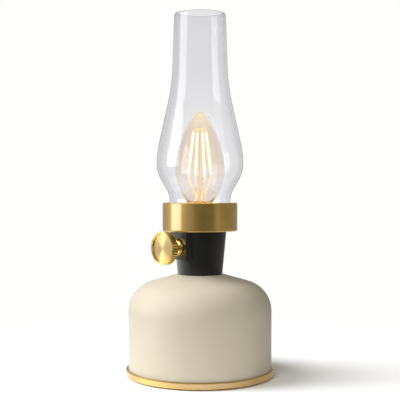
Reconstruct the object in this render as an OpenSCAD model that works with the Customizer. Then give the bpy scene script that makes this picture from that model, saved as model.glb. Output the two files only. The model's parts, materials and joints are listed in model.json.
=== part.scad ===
// Rechargeable table lamp in the shape of an oil lamp. A domed body stands on a brass tray and
// carries a black tapered neck with a dimmer knob, a brass collar, a clear glass chimney and a
// screw-in candle bulb with glowing filaments. Sizes are in millimetres. +Z is up, the lamp's
// axis is the Z axis, the lamp stands on z = 0, and the knob points along -Y.

/* [Body shell] */
// Outer radius of the body shell
body_r = 53; // [48:0.5:58]
// Wall of the body shell
body_wall = 1.5; // [1:0.1:2.5]
// Height of the body shell from the tray's floor to the seat of the neck
body_h = 72.5; // [66:0.1:84]
// Radius of the round shoulder
shoulder_r = 22; // [14:0.5:24]
// Slope of the dome between the shoulder and the neck, in degrees
dome_slope = 16; // [8:0.5:20]
// Width of the flat ledge round the foot of the neck
neck_ledge = 0.5; // [0.2:0.1:3]

/* [Base] */
// Thickness of the foot ring under the tray
foot_h = 1; // [0.6:0.1:2]
// Width of the foot ring
foot_w = 12; // [6:0.5:16]
// Distance from the edge of the tray to the foot ring
foot_inset = 3; // [1:0.5:8]
// Width of the tray's rim
tray_lip = 1.85; // [1.3:0.05:3]
// Thickness of the tray's floor
tray_floor = 1.2; // [1:0.1:2]
// Height of the tray's rim, from its underside
tray_rim = 4.5; // [2.5:0.1:6]
// Rounding of the tray's rim
tray_edge = 0.6; // [0.2:0.1:0.8]
// Thickness of the steel ballast plate
ballast_h = 6; // [5:0.5:8]
// Gap between the ballast plate and the inside of the body
ballast_gap = 1; // [0.5:0.1:2]
// Radius of the circle of tray screws
tray_screw_pcr = 31; // [26:0.5:34]
// Number of tray screws
tray_screws_n = 4; // [3:1:6]
// Length of a tray screw
tray_screw_l = 5.6; // [4:0.1:6.2]

/* [Neck] */
// Outer radius of the neck where it stands on the body
neck_bottom_r = 16.6; // [15:0.1:18]
// Outer radius of the neck under the collar
neck_top_r = 19.6; // [17.5:0.1:22]
// Height of the neck
neck_h = 32; // [28:0.1:38]
// Wall of the neck
neck_wall = 2; // [1.2:0.1:2.6]
// Thickness of the neck's floor
neck_floor = 5.6; // [3:0.1:6]
// Distance from the lamp's axis to the flat face of the dimmer pad
pad_y = 21.2; // [19:0.1:24]
// Width of the dimmer pad
pad_w = 18.5; // [16:0.5:24]
// Distance from the knob's axis down to the lower edge of the dimmer pad
pad_below = 8.9; // [8.4:0.1:10]
// Rounding of the dimmer pad's lower corners
pad_corner = 1.6; // [0.5:0.1:3]
// Rounding of the dimmer pad's upright edges
pad_edge = 0.7; // [0.3:0.1:1.5]

/* [Dimmer and knob] */
// Height of the knob's axis above the seat of the neck
knob_rise = 20.6; // [17:0.1:22]
// Radius of the knob
knob_r = 12.1; // [10:0.1:14]
// Thickness of the knob's disc
knob_h = 5.8; // [4.5:0.1:7]
// Thickness of the smooth bead round the knob's front
knob_bead = 1.4; // [1:0.1:2.2]
// Width of the raised rim round the knob's face
knob_rim = 1.6; // [0.7:0.1:2]
// Depth of the knob's face inside its rim
knob_dish = 1; // [0.3:0.1:2]
// How far the knob's grip lies inside its bead
grip_step = 0.15; // [0.05:0.05:0.4]
// Number of grooves in the knob's grip
knob_grooves = 39; // [24:1:44]
// Width of a groove in the knob's grip at its mouth
groove_w = 1.05; // [0.6:0.05:1.2]
// Depth of a groove in the knob's grip
groove_d = 0.85; // [0.3:0.05:1]
// Radius of the knob's hub
hub_r = 5; // [4.6:0.1:6]
// Length of the knob's hub
hub_l = 5.3; // [4:0.1:9]
// Gap between the hub and the ferrule
hub_gap = 0.6; // [0.3:0.1:1.5]
// Depth of the shaft's end in the knob's disc
shaft_grip = 1.4; // [0.8:0.1:1.8]
// Radius of the dimmer's shaft
shaft_r = 3; // [2.5:0.1:3.2]
// Depth of the flat on the dimmer's shaft
shaft_flat = 0.5; // [0.3:0.1:1]
// Wall of the dimmer's threaded bush
bush_wall = 0.8; // [0.5:0.1:1.2]
// Radius of the ferrule where it lies on the pad
ferrule_r = 6.5; // [5.5:0.1:8]
// Height of the ferrule
ferrule_h = 4.2; // [3:0.1:5]
// Thickness of the ferrule's edge
ferrule_edge = 0.7; // [0.4:0.1:1.2]
// Width of the ferrule's nose round the bush
ferrule_nose = 0.75; // [0.4:0.05:1]
// Radius of the set screw in the knob's hub
set_screw_r = 1.5; // [1:0.1:1.7]
// Corner radius of the hexagon socket in the set screw
set_screw_key_r = 0.8; // [0.5:0.1:0.9]
// Width of the dimmer's case
dimmer_w = 10; // [8.5:0.5:12]
// Height of the dimmer's case
dimmer_h = 11.4; // [9:0.2:12.8]
// Depth of the dimmer's case
dimmer_d = 6.6; // [5:0.1:7.4]
// Wall behind the shaft in the dimmer's case
dimmer_wall = 1; // [0.6:0.1:2]
// Spacing of the dimmer's pins
pin_pitch = 2.5; // [2:0.1:2.8]
// Length of the dimmer's pins
pin_l = 2.4; // [1:0.1:3]
// Thickness of the dimmer's pins
pin_t = 0.8; // [0.4:0.1:1]

/* [Collar] */
// Outer radius of the collar
collar_r = 27.75; // [26:0.25:32]
// Height of the collar
collar_h = 20.9; // [16:0.1:26]
// Wall of the collar
collar_wall = 1.5; // [1:0.1:2]
// Thickness of the collar's floor
collar_floor = 2.5; // [1.2:0.1:3]
// Rounding of the collar's lower edge
collar_edge = 1.2; // [0.4:0.1:1.4]
// Rounding of the collar's upper edge
collar_lip = 0.4; // [0.1:0.1:0.7]
// Thickness of the gasket under the chimney
gasket_h = 2.2; // [1:0.1:4]
// Height of the gasket's ring outside the chimney
gasket_ring = 5; // [2:0.5:10]
// Width of the gasket's seat inside the chimney
gasket_seat = 3.4; // [1:0.1:4]
// Width of the ring that clamps the collar on the lampholder
shade_ring_w = 4.6; // [3:0.1:5.5]
// Thickness of the ring that clamps the collar on the lampholder
shade_ring_h = 4; // [3:0.1:6]
// Rounding of the clamp ring and of the gasket
soft_edge = 0.6; // [0.2:0.1:0.8]

/* [Chimney] */
// Height of the chimney
chimney_h = 155.5; // [140:0.5:180]
// Outer radius of the chimney in the collar
fitter_r = 22.55; // [21:0.05:24.5]
// Outer radius of the chimney at its belly
belly_r = 32.1; // [29.5:0.1:35]
// Height of the belly above the foot of the chimney
belly_rise = 44.9; // [42:0.1:50]
// Outer radius of the chimney at its rim
rim_r = 19.2; // [17.5:0.1:21]
// Thickness of the chimney's glass
glass_wall = 1.7; // [1.2:0.1:2.4]
// Slope of the chimney under its belly, in degrees
under_slope = 30; // [27:0.5:33]
// Slope of the chimney above its belly, in degrees
over_slope = 12.4; // [11.2:0.1:13.6]
// Slope of the tube under the rim, in degrees
tube_slope = 1.9; // [0.5:0.1:3]
// Radius of the waist between the collar and the belly
waist_arc = 17.5; // [14:0.5:22]
// Radius of the belly's lower half
belly_low_arc = 24; // [20:0.5:28]
// Radius of the belly's upper half
belly_high_arc = 68; // [60:1:76]
// Radius of the bend between the belly and the tube
flare_arc = 160; // [140:1:180]

/* [Lampholder] */
// Outer radius of the lampholder
holder_r = 10.4; // [9.6:0.1:11.5]
// Depth of the lampholder's socket for the tie tube
holder_socket = 8; // [5:0.1:10]
// Thickness of the lampholder's partition
holder_partition = 2.2; // [1.5:0.1:3]
// Height of the chamber for the bulb's cap
holder_chamber = 22; // [19.8:0.1:24]
// Thickness of the lampholder's screw shell
screw_shell_wall = 0.5; // [0.3:0.05:0.7]
// Height of the lampholder's contact tongue
tongue_h = 1.5; // [1:0.1:2.5]
// Thickness of the lampholder's contact tongue
tongue_t = 0.6; // [0.3:0.1:0.8]
// Length of the lampholder's contact tongue
tongue_l = 8; // [6:0.1:10]
// Width of the lampholder's contact tongue
tongue_w = 4; // [3:0.1:6]
// Length of each foot of the lampholder's contact tongue
tongue_foot = 1.6; // [1:0.1:2.4]

/* [Bulb] */
// Outer radius of the bulb
bulb_r = 18.3; // [17:0.1:19.6]
// Height of the straight glass between the bulb's cap and its flare
bulb_throat = 0.2; // [0:0.1:3]
// Thickness of the bulb's glass
bulb_wall = 0.7; // [0.5:0.05:1]
// Outer radius of the bulb's glass in the cap
bulb_neck_r = 6.9; // [6.5:0.05:7.5]
// Length of the bulb's cap, from its contact to its edge
cap_h = 24.8; // [22.5:0.1:27]
// Radius over the crests of the cap's thread
cap_thread_r = 6.95; // [6.5:0.05:7.5]
// Pitch of the cap's thread
cap_pitch = 2.82; // [2.6:0.02:3]
// Turns of the cap's thread
cap_turns = 5; // [4:1:5]
// Depth of the cap's thread
cap_thread_d = 0.55; // [0.3:0.05:0.7]
// Wall of the cap
cap_wall = 0.4; // [0.25:0.05:0.5]
// Radius of the bulb's contact
contact_r = 2.4; // [1.8:0.1:3]
// Height of the bulb's contact
contact_h = 1; // [0.6:0.1:1.6]
// Height of the bulb's insulator
insulator_h = 2.4; // [1.5:0.1:3]
// Slope of the glass under the bulb's widest place, in degrees
bulb_under_slope = 41.5; // [38:0.5:43]
// Radius of the bulb under its widest place
bulb_low_arc = 39.5; // [34:0.5:43]
// Radius of the bulb over its widest place
bulb_high_arc = 25; // [20:0.5:32]
// Radius of the long upper side of the bulb
bulb_side_arc = 90; // [80:1:100]
// Slope where the long side starts, in degrees
bulb_side_slope = 8; // [6:0.1:10]
// Slope where the bulb's tip starts, in degrees
bulb_tip_slope = 32.9; // [30:0.1:34.5]
// Length of a filament
filament_l = 32.1; // [28:0.1:35]
// Radius of a filament
filament_r = 0.9; // [0.5:0.05:1.2]
// Number of filaments
filaments_n = 4; // [3:1:6]
// Distance from the axis to a filament's lower end
filament_low_r = 9.1; // [7:0.1:10]
// Distance from the axis to a filament's upper end
filament_high_r = 5.1; // [4:0.1:6]
// Turn of the filaments about the axis, in degrees
filament_turn = 70; // [0:1:90]
// Height of the filaments' lower ends above the cap
filament_rise = 25; // [24:0.1:27]
// Radius of the wires that carry the filaments
support_r = 0.35; // [0.2:0.05:0.5]
// Radius of the bulb's glass stem
stem_r = 3.4; // [2.4:0.1:4]
// Height of the flare at the foot of the glass stem
stem_flare = 5.3; // [3:0.1:8]
// Height of the glass stem above the cap
stem_h = 18; // [14:0.5:18.5]
// Width of the pinch on top of the stem
pinch_w = 6; // [5:0.1:6.6]
// Thickness of the pinch on top of the stem
pinch_t = 2.2; // [1.6:0.1:3]
// Height of the pinch on top of the stem
pinch_h = 5.5; // [4:0.1:6]
// Radius of the glass rod above the pinch
rod_r = 0.7; // [0.5:0.05:0.9]
// Radius of the glass bead on the rod
bead_r = 1.6; // [1.2:0.1:2]
// Height of the glass bead above the filaments
bead_rise = 2; // [1:0.1:3]

/* [Power] */
// Radius of a battery cell
cell_r = 9.2; // [8:0.1:10]
// Length of a battery cell
cell_l = 65; // [58:0.5:70]
// Gap between a battery cell and the tie tube
cell_gap = 1.6; // [0.5:0.1:3]
// Radius of a cell's raised end
button_r = 3.2; // [2:0.1:4]
// Height of a cell's raised end
button_h = 0.8; // [0.4:0.1:1.5]
// Wall of a cell's can
can_wall = 0.8; // [0.4:0.1:1.2]
// Thickness of the battery cradle's floor
cradle_floor = 2; // [1.2:0.1:3]
// Thickness of the battery cradle's end walls
cradle_wall = 2; // [1.2:0.1:3]
// Thickness of the nickel tabs on the cells
tab_t = 0.4; // [0.2:0.05:0.6]
// Width of the nickel tabs on the cells
tab_w = 8; // [5:0.5:12]
// Thickness of the plate that holds the cells down
strap_t = 1.5; // [1:0.1:2.5]
// Width of the plate that holds the cells down
strap_w = 20; // [16:0.5:26]
// Thickness of the control board
board_t = 1.6; // [0.8:0.1:2]
// Width of the control board
board_w = 48; // [46:0.5:54]
// Gap between the control board and the inside of the body
board_gap = 1; // [0.5:0.1:2]
// Height of the spacers under the control board
spacer_h = 2.4; // [1.5:0.1:4]
// Height of the board's connectors
connector_h = 5.6; // [4:0.1:8]
// Depth of the board's connectors
connector_d = 5; // [4:0.1:5.5]
// Wall of the board's connectors beside their wires
connector_wall = 1.45; // [0.8:0.05:1.6]
// Radius of the board's coil
coil_r = 2.4; // [1.5:0.1:2.6]
// Height of the board's coil
coil_h = 4.2; // [2:0.1:6]
// Side of the board's chip
chip_w = 4; // [3:0.1:4.6]
// Thickness of the board's chip
chip_t = 1; // [0.6:0.1:1.5]
// Side of the charging light's diode
diode_w = 1.6; // [1:0.1:2]
// Width of the charging port
port_w = 8.94; // [8.4:0.02:9.4]
// Height of the charging port
port_h = 3.26; // [3:0.02:3.5]
// Length of the charging port
port_l = 7.3; // [6.6:0.1:8]
// Wall of the charging port
port_wall = 0.3; // [0.2:0.05:0.4]
// Width of the tongue in the charging port
port_tongue_w = 6.4; // [5.8:0.1:6.8]
// Thickness of the tongue in the charging port
port_tongue_t = 0.7; // [0.5:0.05:0.9]
// How far the charging port's mouth lies inside the body's face
port_inset = 0.6; // [0.2:0.1:1.2]
// Width of the bezel round the charging port
bezel_w = 2.2; // [1.4:0.1:3]
// How far the bezel stands out of the body
bezel_proud = 0.2; // [0.1:0.05:0.5]
// Radius of the charging light's pipe
light_r = 1; // [0.7:0.1:1.3]
// Length of the charging light's pipe
light_l = 4; // [3:0.1:5]
// Distance from the port to the charging light
light_x = 11; // [9.5:0.5:13]

/* [Fastenings and wires] */
// Radius of the tie tube
tube_r = 5; // [4.5:0.1:5.4]
// Bore radius of the tie tube
tube_bore = 3.8; // [3.4:0.1:4.2]
// Thickness of the washer on the neck's floor
washer_h = 1; // [0.8:0.1:1.6]
// Radius of the washer on the neck's floor
washer_r = 8; // [7:0.1:8.5]
// Thickness of the tie nut
nut_h = 5; // [4:0.1:6]
// Width across the flats of the tie nut
nut_af = 13; // [12.2:0.1:14.2]
// Shank radius of the small screws
screw_r = 1.5; // [1:0.1:1.6]
// Head radius of the small screws
screw_head_r = 2.5; // [2:0.1:2.7]
// Head height of the small screws
screw_head_h = 1.6; // [1:0.1:2.4]
// Corner radius of the hexagon socket in the small screws
screw_key_r = 1.2; // [0.8:0.1:1.4]
// Wall of the posts round the small screws' heads
post_wall = 0.5; // [0.3:0.1:1]
// Depth of the small screws in the ballast plate
screw_bite = 2.5; // [1.5:0.1:3]
// Depth left under the small screws in the ballast plate
screw_spare = 0.5; // [0.3:0.1:1]
// Radius of a wire
wire_r = 0.65; // [0.4:0.05:0.7]
// Spacing of the wires in a connector
wire_pitch = 2.2; // [1.8:0.1:2.4]
// Radius of the passage for the dimmer's wires
passage_r = 2.6; // [2.4:0.1:2.8]
// Distance from the axis to the passage for the dimmer's wires
passage_y = 11.2; // [11:0.1:11.6]
// Radius of the wire window in the side of the tie tube
window_r = 2.6; // [2.4:0.05:3]
// Height of the wire window above the ballast plate
window_rise = 38; // [35:0.5:41]

/* [Fits] */
// Clearance of pieces that slip into one another
slip = 0.15; // [0.1:0.01:0.2]
// Clearance of a shaft that turns in its bush, and of a thread
running = 0.05; // [0.02:0.01:0.08]
// Gap under a piece that lifts away
lift_gap = 0.2; // [0.1:0.05:0.3]
// Gap round the chimney's foot
chimney_gap = 0.3; // [0.2:0.05:0.5]
// Gap between the battery cradle, the control board and the connectors
part_gap = 0.6; // [0.3:0.1:1]

/* [Hidden] */
$fn = 96;

// Colours
brass = [0.78, 0.62, 0.30];
beige = [0.87, 0.83, 0.74];
black = [0.10, 0.10, 0.10];
steel = [0.62, 0.63, 0.65];
clear = [0.86, 0.88, 0.92, 0.4];
amber = [0.96, 0.82, 0.62, 0.5];
plastic = [0.20, 0.20, 0.21];

// How far a cutting shape runs past a face, and how deep two shapes of one piece run together
past = 1;
weld = 0.01;

// Levels, from the floor up
tray_z = foot_h;
deck_z = tray_z + tray_floor;
ballast_z = deck_z + ballast_h;
neck_z = deck_z + body_h;
neck_deck = neck_z + neck_floor;
nut_z = neck_deck + washer_h;
holder_z = nut_z + nut_h;
socket_z = holder_z + holder_socket;
chamber_z = socket_z + holder_partition;
holder_top = chamber_z + holder_chamber;
knob_z = neck_z + knob_rise;
collar_z = neck_z + neck_h;
collar_deck = collar_z + collar_floor;
gasket_z = collar_deck + gasket_h;
chimney_z = gasket_z + lift_gap;
bulb_z = chamber_z + tongue_h + lift_gap;
cap_z = bulb_z + cap_h;

// Radii that several pieces share
tray_inner_r = body_r + slip;
tray_r = tray_inner_r + tray_lip;
shell_inner_r = body_r - body_wall;
neck_seat_r = neck_bottom_r + neck_ledge;
bush_r = shaft_r + running + bush_wall;
collar_inner_r = collar_r - collar_wall;
thread_root_r = cap_thread_r - cap_thread_d;
skirt_r = bulb_neck_r + slip + cap_wall;
screw_shell_r = cap_thread_r + slip;
chamber_r = max(screw_shell_r + screw_shell_wall, skirt_r) + slip;

// Places inside the body
post_r = screw_head_r + post_wall;
cell_y = tube_r + cell_gap + cell_r;
cell_z = ballast_z + cradle_floor + slip + cell_r;
strap_z = cell_z + cell_r + slip;
post_y = cell_y + cell_r + slip + post_r;
cradle_w = cell_l + 2 * (tab_t + cradle_wall + 2 * slip);
tab_x = cell_l / 2 + slip + tab_t / 2;
screw_tip_z = ballast_z - screw_bite;
board_r = shell_inner_r - board_gap;
board_y = post_y + post_r + part_gap;
board_z = ballast_z + spacer_h;
board_top = board_z + board_t;
connector_y = board_y + connector_d / 2 + part_gap;
port_y = body_r - port_inset;
port_z = board_top + port_h / 2;
parts_y = (connector_y + connector_d / 2 + port_y) / 2 - coil_r;
bezel_r = port_h / 2 + slip + bezel_w;
light_back = sqrt(body_r * body_r - light_x * light_x) - light_l;

// Distances from the lamp's axis along the knob's axis
dimmer_y = pad_y - neck_wall;
dimmer_back = dimmer_y - dimmer_d;
bush_end = pad_y + ferrule_h - hub_gap / 2;
hub_back = pad_y + ferrule_h + hub_gap;
disc_back = hub_back + hub_l;
knob_front = disc_back + knob_h;
grip_end = knob_front - knob_bead;
shaft_end = disc_back + shaft_grip;
set_screw_at = (hub_back + disc_back) / 2;
pin_y = dimmer_back + dimmer_wall + pin_t / 2;
pin_z = knob_z - dimmer_h / 2 - pin_l;

// Levels in the bulb
thread_z = bulb_z + contact_h + insulator_h;
thread_top = thread_z + cap_turns * cap_pitch;
skirt_z = thread_top + cap_wall;
glass_z = skirt_z + cap_wall;
stem_z = cap_z + stem_h;
filament_low_z = cap_z + filament_rise;
filament_high_z = filament_low_z + filament_l;
bead_z = filament_high_z + bead_rise;

// Points of an arc about a centre, from angle a to angle b
function arc(c, r, a, b, n) =
    [for (i = [0:n]) let (t = a + (b - a) * i / n) c + r * [cos(t), sin(t)]];
function backwards(p) = [for (i = [len(p) - 1:-1:0]) p[i]];

// The chimney's straight stretches, worked out so that they run smoothly into its arcs
under_l = (belly_r - fitter_r - (waist_arc + belly_low_arc) * (1 - cos(under_slope))) / sin(under_slope);
belly_z = chimney_z + belly_rise;
fitter_z = belly_z - (waist_arc + belly_low_arc) * sin(under_slope) - under_l * cos(under_slope);
rim_z = chimney_z + chimney_h - glass_wall / 2;
upper_run = belly_r - rim_r - belly_high_arc * (1 - cos(over_slope))
    - flare_arc * (cos(tube_slope) - cos(over_slope));
upper_rise = rim_z - belly_z - belly_high_arc * sin(over_slope)
    - flare_arc * (sin(over_slope) - sin(tube_slope));
tube_l = (upper_rise * sin(over_slope) - upper_run * cos(over_slope)) / sin(over_slope - tube_slope);
flare_c = [rim_r, rim_z] - tube_l * [-sin(tube_slope), cos(tube_slope)]
    + flare_arc * [cos(tube_slope), sin(tube_slope)];

// The chimney's wall from the collar to the rim, at a depth inside its outer face
function chimney_side(depth) = concat(
    [[fitter_r - depth, chimney_z + glass_wall / 2]],
    arc([fitter_r + waist_arc, fitter_z], waist_arc + depth, 180, 180 - under_slope, 6),
    arc([belly_r - belly_low_arc, belly_z], belly_low_arc - depth, -under_slope, 0, 7),
    arc([belly_r - belly_high_arc, belly_z], belly_high_arc - depth, 0, over_slope, 4),
    arc(flare_c, flare_arc + depth, 180 + over_slope, 180 + tube_slope, 6),
    [[rim_r, rim_z] - depth * [cos(tube_slope), sin(tube_slope)]]);

// The bulb's arcs, each of which runs smoothly into the next
bulb_neck_arc = (bulb_r - bulb_neck_r) / (1 - cos(bulb_under_slope)) - bulb_low_arc;
bulb_neck_z = cap_z + bulb_throat;
bulb_belly_z = bulb_neck_z + (bulb_low_arc + bulb_neck_arc) * sin(bulb_under_slope);
bulb_high_c = [bulb_r - bulb_high_arc, bulb_belly_z];
bulb_side_c = bulb_high_c
    - (bulb_side_arc - bulb_high_arc) * [cos(bulb_side_slope), sin(bulb_side_slope)];
bulb_tip_arc = bulb_side_arc + bulb_side_c[0] / cos(bulb_tip_slope);
bulb_tip_c = [0, bulb_side_c[1] + (bulb_side_arc - bulb_tip_arc) * sin(bulb_tip_slope)];

// The bulb's wall from the cap to the tip, at a depth inside its outer face
function bulb_side(depth) = concat(
    [[bulb_neck_r - depth, glass_z]],
    arc([bulb_neck_r + bulb_neck_arc, bulb_neck_z], bulb_neck_arc + depth, 180, 180 - bulb_under_slope, 6),
    arc([bulb_r - bulb_low_arc, bulb_belly_z], bulb_low_arc - depth, -bulb_under_slope, 0, 7),
    arc(bulb_high_c, bulb_high_arc - depth, 0, bulb_side_slope, 5),
    arc(bulb_side_c, bulb_side_arc - depth, bulb_side_slope, bulb_tip_slope, 5),
    arc(bulb_tip_c, bulb_tip_arc - depth, bulb_tip_slope, 90, 6));

// A point beside the bulb's axis, on the side of one of the filaments
function beside_axis(x, y, z, i) = let (t = filament_turn + 360 * i / filaments_n)
    [x * cos(t), y * sin(t), z];

// The middle of each connector on the board
lamp_plug_x = -4.5;
dimmer_plug_x = 5;
battery_plug_x = 14;
plug_z = board_top + connector_h;
window_z = ballast_z + window_rise;

// Routes of the wires, as points on each one's centre line
function lamp_route(s) = [
    [lamp_plug_x + s * wire_pitch / 2, connector_y, plug_z],
    [lamp_plug_x + s * wire_pitch / 2, connector_y, plug_z + 7],
    [-4 + s, 30, 38],
    [-1 + s, 20, 45],
    [s, 11, window_z],
    [s, 4, window_z],
    [s, 0.4, window_z + 3.6],
    [s, 0, window_z + 11],
    [s, 0, (window_z + 11 + socket_z) / 2],
    [s, 0, socket_z]];
function dimmer_route(s) = [
    [s * pin_pitch, -pin_y, pin_z],
    [s * pin_pitch, -pin_y, pin_z - 2],
    [s * 1.5, -passage_y, neck_deck],
    [s * 1.5, -passage_y, neck_z - 5],
    [6 + s * 1.5, -9, 58],
    [12 + s * 1.6, -1, 47],
    [13 + s * 1.8, 16, 44],
    [9 + s * 2, 29, 36],
    [dimmer_plug_x + s * wire_pitch, connector_y, plug_z + 7],
    [dimmer_plug_x + s * wire_pitch, connector_y, plug_z]];
function battery_route(s) = [
    [s * tab_x, cell_y, cell_z + cell_r],
    [s * tab_x, cell_y, cell_z + cell_r + 4],
    [s * 29, 22, strap_z + 8],
    [s * 21, 29, strap_z + 5],
    [s * battery_plug_x, connector_y, plug_z + 6],
    [s * battery_plug_x, connector_y, plug_z]];

// A smooth line through the points of a route
steps = 4;
function bend(a, b, c, d, t) = 0.5 * (2 * b + (c - a) * t + (2 * a - 5 * b + 4 * c - d) * t * t
    + (3 * b - a - 3 * c + d) * t * t * t);
function smooth(p) = let (n = len(p) - 1) concat(
    [for (i = [0:n - 1], j = [0:steps - 1])
        bend(p[max(i - 1, 0)], p[i], p[i + 1], p[min(i + 2, n)], j / steps)], [p[n]]);
function unit(v) = v / norm(v);

// A wire along a route, with its two ends square to the route's first and last stretch
module wire(route) {
    sides = 8;
    p = smooth(route);
    n = len(p) - 1;
    last = len(route) - 1;
    ring = [for (i = [0:n]) let (
            ahead = unit(i == 0 ? route[1] - route[0]
                : i == n ? route[last] - route[last - 1] : p[i + 1] - p[i - 1]),
            across = unit(cross([1, 0.2, 0.1], ahead)),
            up = cross(ahead, across))
        for (k = [0:sides - 1])
            p[i] + wire_r * (cos(360 * k / sides) * across + sin(360 * k / sides) * up)];
    wall = [for (i = [0:n - 1], k = [0:sides - 1]) let (
            a = i * sides + k, b = i * sides + (k + 1) % sides)
        each [[a, a + sides, b], [b, a + sides, b + sides]]];
    start = [for (k = [1:sides - 2]) [0, k, k + 1]];
    end = [for (k = [1:sides - 2]) [n * sides, n * sides + k + 1, n * sides + k]];
    polyhedron(points = ring, faces = concat(wall, start, end));
}

// A cylinder about Z from one level to another
module column(z0, z1, r) {
    translate([0, 0, z0]) cylinder(h = z1 - z0, r = r);
}

// A cone about Z from one level and radius to another
module cone(z0, z1, r0, r1) {
    translate([0, 0, z0]) cylinder(h = z1 - z0, r1 = r0, r2 = r1);
}

// A round bar between two points
module bar(a, b, r) {
    v = b - a;
    translate(a) rotate([0, acos(v[2] / norm(v)), atan2(v[1], v[0])]) cylinder(h = norm(v), r = r);
}

// A ring about Z, or a disc where the inner radius is 0, with its outer edges rounded
module turned_ring(r_in, r_out, z0, z1, low = 0, high = 0) {
    rotate_extrude() difference() {
        translate([r_in, z0]) square([r_out - r_in, z1 - z0]);
        if (low > 0) edge_cut(r_out, z0, low, -1);
        if (high > 0) edge_cut(r_out, z1, high, 1);
    }
}

// What rounding takes off a profile's outer corner at its bottom (-1) or its top (1)
module edge_cut(r, z, size, side) {
    difference() {
        translate([r - size, side > 0 ? z - size : z - past]) square(size + past);
        translate([r - size, z - side * size]) circle(size);
    }
}

// A rectangle about the middle with its two lower corners rounded
module round_foot(half, low, high, r) {
    translate([-half, low + r]) square([2 * half, high - low - r]);
    translate([-half + r, low]) square([2 * (half - r), r]);
    for (s = [-1, 1]) translate([s * (half - r), low + r]) circle(r);
}

// The outline of the charging port, widened all round to an end radius
module port_outline(r) {
    flat = port_w - port_h;
    square([flat, 2 * r], center = true);
    for (s = [-1, 1]) translate([s * flat / 2, 0]) circle(r);
}

// Places its children with their Z pointing out of the back at the charging port's height
module at_back(x, y) {
    translate([x, y, port_z]) rotate([-90, 0, 0]) children();
}

// Places its children with their Z pointing to the front along the knob's axis
module on_knob_axis() {
    translate([0, 0, knob_z]) rotate([90, 0, 0]) children();
}

// Repeats its children on a circle
module around(n, r, turn = 0) {
    for (i = [0:n - 1]) rotate(turn + 360 * i / n) translate([r, 0, 0]) children();
}

// Places its children at the two posts of the battery cradle
module at_strap_posts() {
    for (s = [-1, 1]) translate([0, s * post_y, 0]) children();
}

// Places its children at the two fixing points of the control board
module at_board_posts() {
    for (s = [-1, 1]) translate([s * (board_w / 2 - post_r), board_y + post_r, 0]) children();
}

// Places its children at the tray's screws
module at_tray_screws() {
    around(tray_screws_n, tray_screw_pcr, 180 / tray_screws_n) children();
}

// A countersunk screw with its head level with the underside of the tray, larger by a gap
module countersunk_screw(gap = 0) {
    translate([0, 0, tray_z]) {
        if (gap > 0) column(-gap, weld, screw_head_r + gap);
        cone(0, screw_head_r - screw_r, screw_head_r + gap, screw_r + gap);
        column(0, tray_screw_l + gap, screw_r + gap);
    }
}

// A screw with a cylindrical head on a level, which reaches down into the ballast plate
module socket_screw(seat) {
    difference() {
        column(seat, seat + screw_head_h, screw_head_r);
        translate([0, 0, seat + screw_head_h / 2]) cylinder(h = screw_head_h, r = screw_key_r, $fn = 6);
    }
    column(screw_tip_z, seat + weld, screw_r);
}

// Base

module foot_ring() {
    color(black) turned_ring(tray_r - foot_inset - foot_w, tray_r - foot_inset, 0, tray_z);
}

module base_tray() {
    color(brass) difference() {
        turned_ring(0, tray_r, tray_z, tray_z + tray_rim, tray_edge, tray_edge);
        column(deck_z, tray_z + tray_rim + past, tray_inner_r);
        at_tray_screws() countersunk_screw(slip);
    }
}

module tray_screws() {
    color(steel) at_tray_screws() countersunk_screw();
}

module ballast_plate() {
    color(steel) difference() {
        column(deck_z, ballast_z, shell_inner_r - ballast_gap);
        column(deck_z - past, ballast_z + past, tube_r + running);
        at_tray_screws() countersunk_screw(running);
        at_strap_posts() column(screw_tip_z - screw_spare, ballast_z + past, screw_r + running);
        at_board_posts() column(screw_tip_z - screw_spare, ballast_z + past, screw_r + running);
    }
}

module tie_tube() {
    color(steel) difference() {
        column(deck_z, socket_z - slip, tube_r);
        column(deck_z - past, socket_z + past, tube_bore);
        translate([0, 0, window_z]) rotate([-90, 0, 0]) cylinder(h = tube_r + past, r = window_r);
    }
}

module tie_washer() {
    color(steel) turned_ring(tube_r + slip, washer_r, neck_deck, nut_z);
}

module tie_nut() {
    color(steel) difference() {
        translate([0, 0, nut_z]) cylinder(h = nut_h, r = nut_af / 2 / cos(30), $fn = 6);
        column(nut_z - past, holder_z + past, tube_r + running);
    }
}

// Body

// The region inside the body's outline from a level upwards, drawn in by a depth
module body_outline(depth, base) {
    shoulder_c = [body_r - shoulder_r, neck_z - shoulder_r / cos(dome_slope)
        - (body_r - shoulder_r - neck_seat_r) * tan(dome_slope)];
    arc_r = shoulder_r - depth;
    brow = shoulder_c + arc_r * [sin(dome_slope), cos(dome_slope)];
    top_z = brow[1] + (brow[0] - neck_seat_r) * tan(dome_slope);
    translate([0, base]) square([body_r - depth, shoulder_c[1] - base]);
    translate(shoulder_c) circle(arc_r);
    polygon([[0, base], [shoulder_c[0], base], brow, [neck_seat_r, top_z], [0, top_z]]);
}

module body_shell() {
    color(beige) difference() {
        rotate_extrude() difference() {
            body_outline(0, deck_z);
            intersection() {
                body_outline(body_wall, deck_z - past);
                translate([0, deck_z - past]) square([body_r, neck_z - body_wall - deck_z + past]);
            }
        }
        column(neck_z - body_wall - past, neck_z + past, tube_r + slip);
        translate([0, -passage_y, 0]) column(neck_z - body_wall - past, neck_z + past, passage_r);
        at_back(0, 0) linear_extrude(body_r + past) port_outline(bezel_r + slip);
        at_back(light_x, 0) column(0, body_r + past, light_r + slip);
    }
}

// Battery and control board

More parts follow.
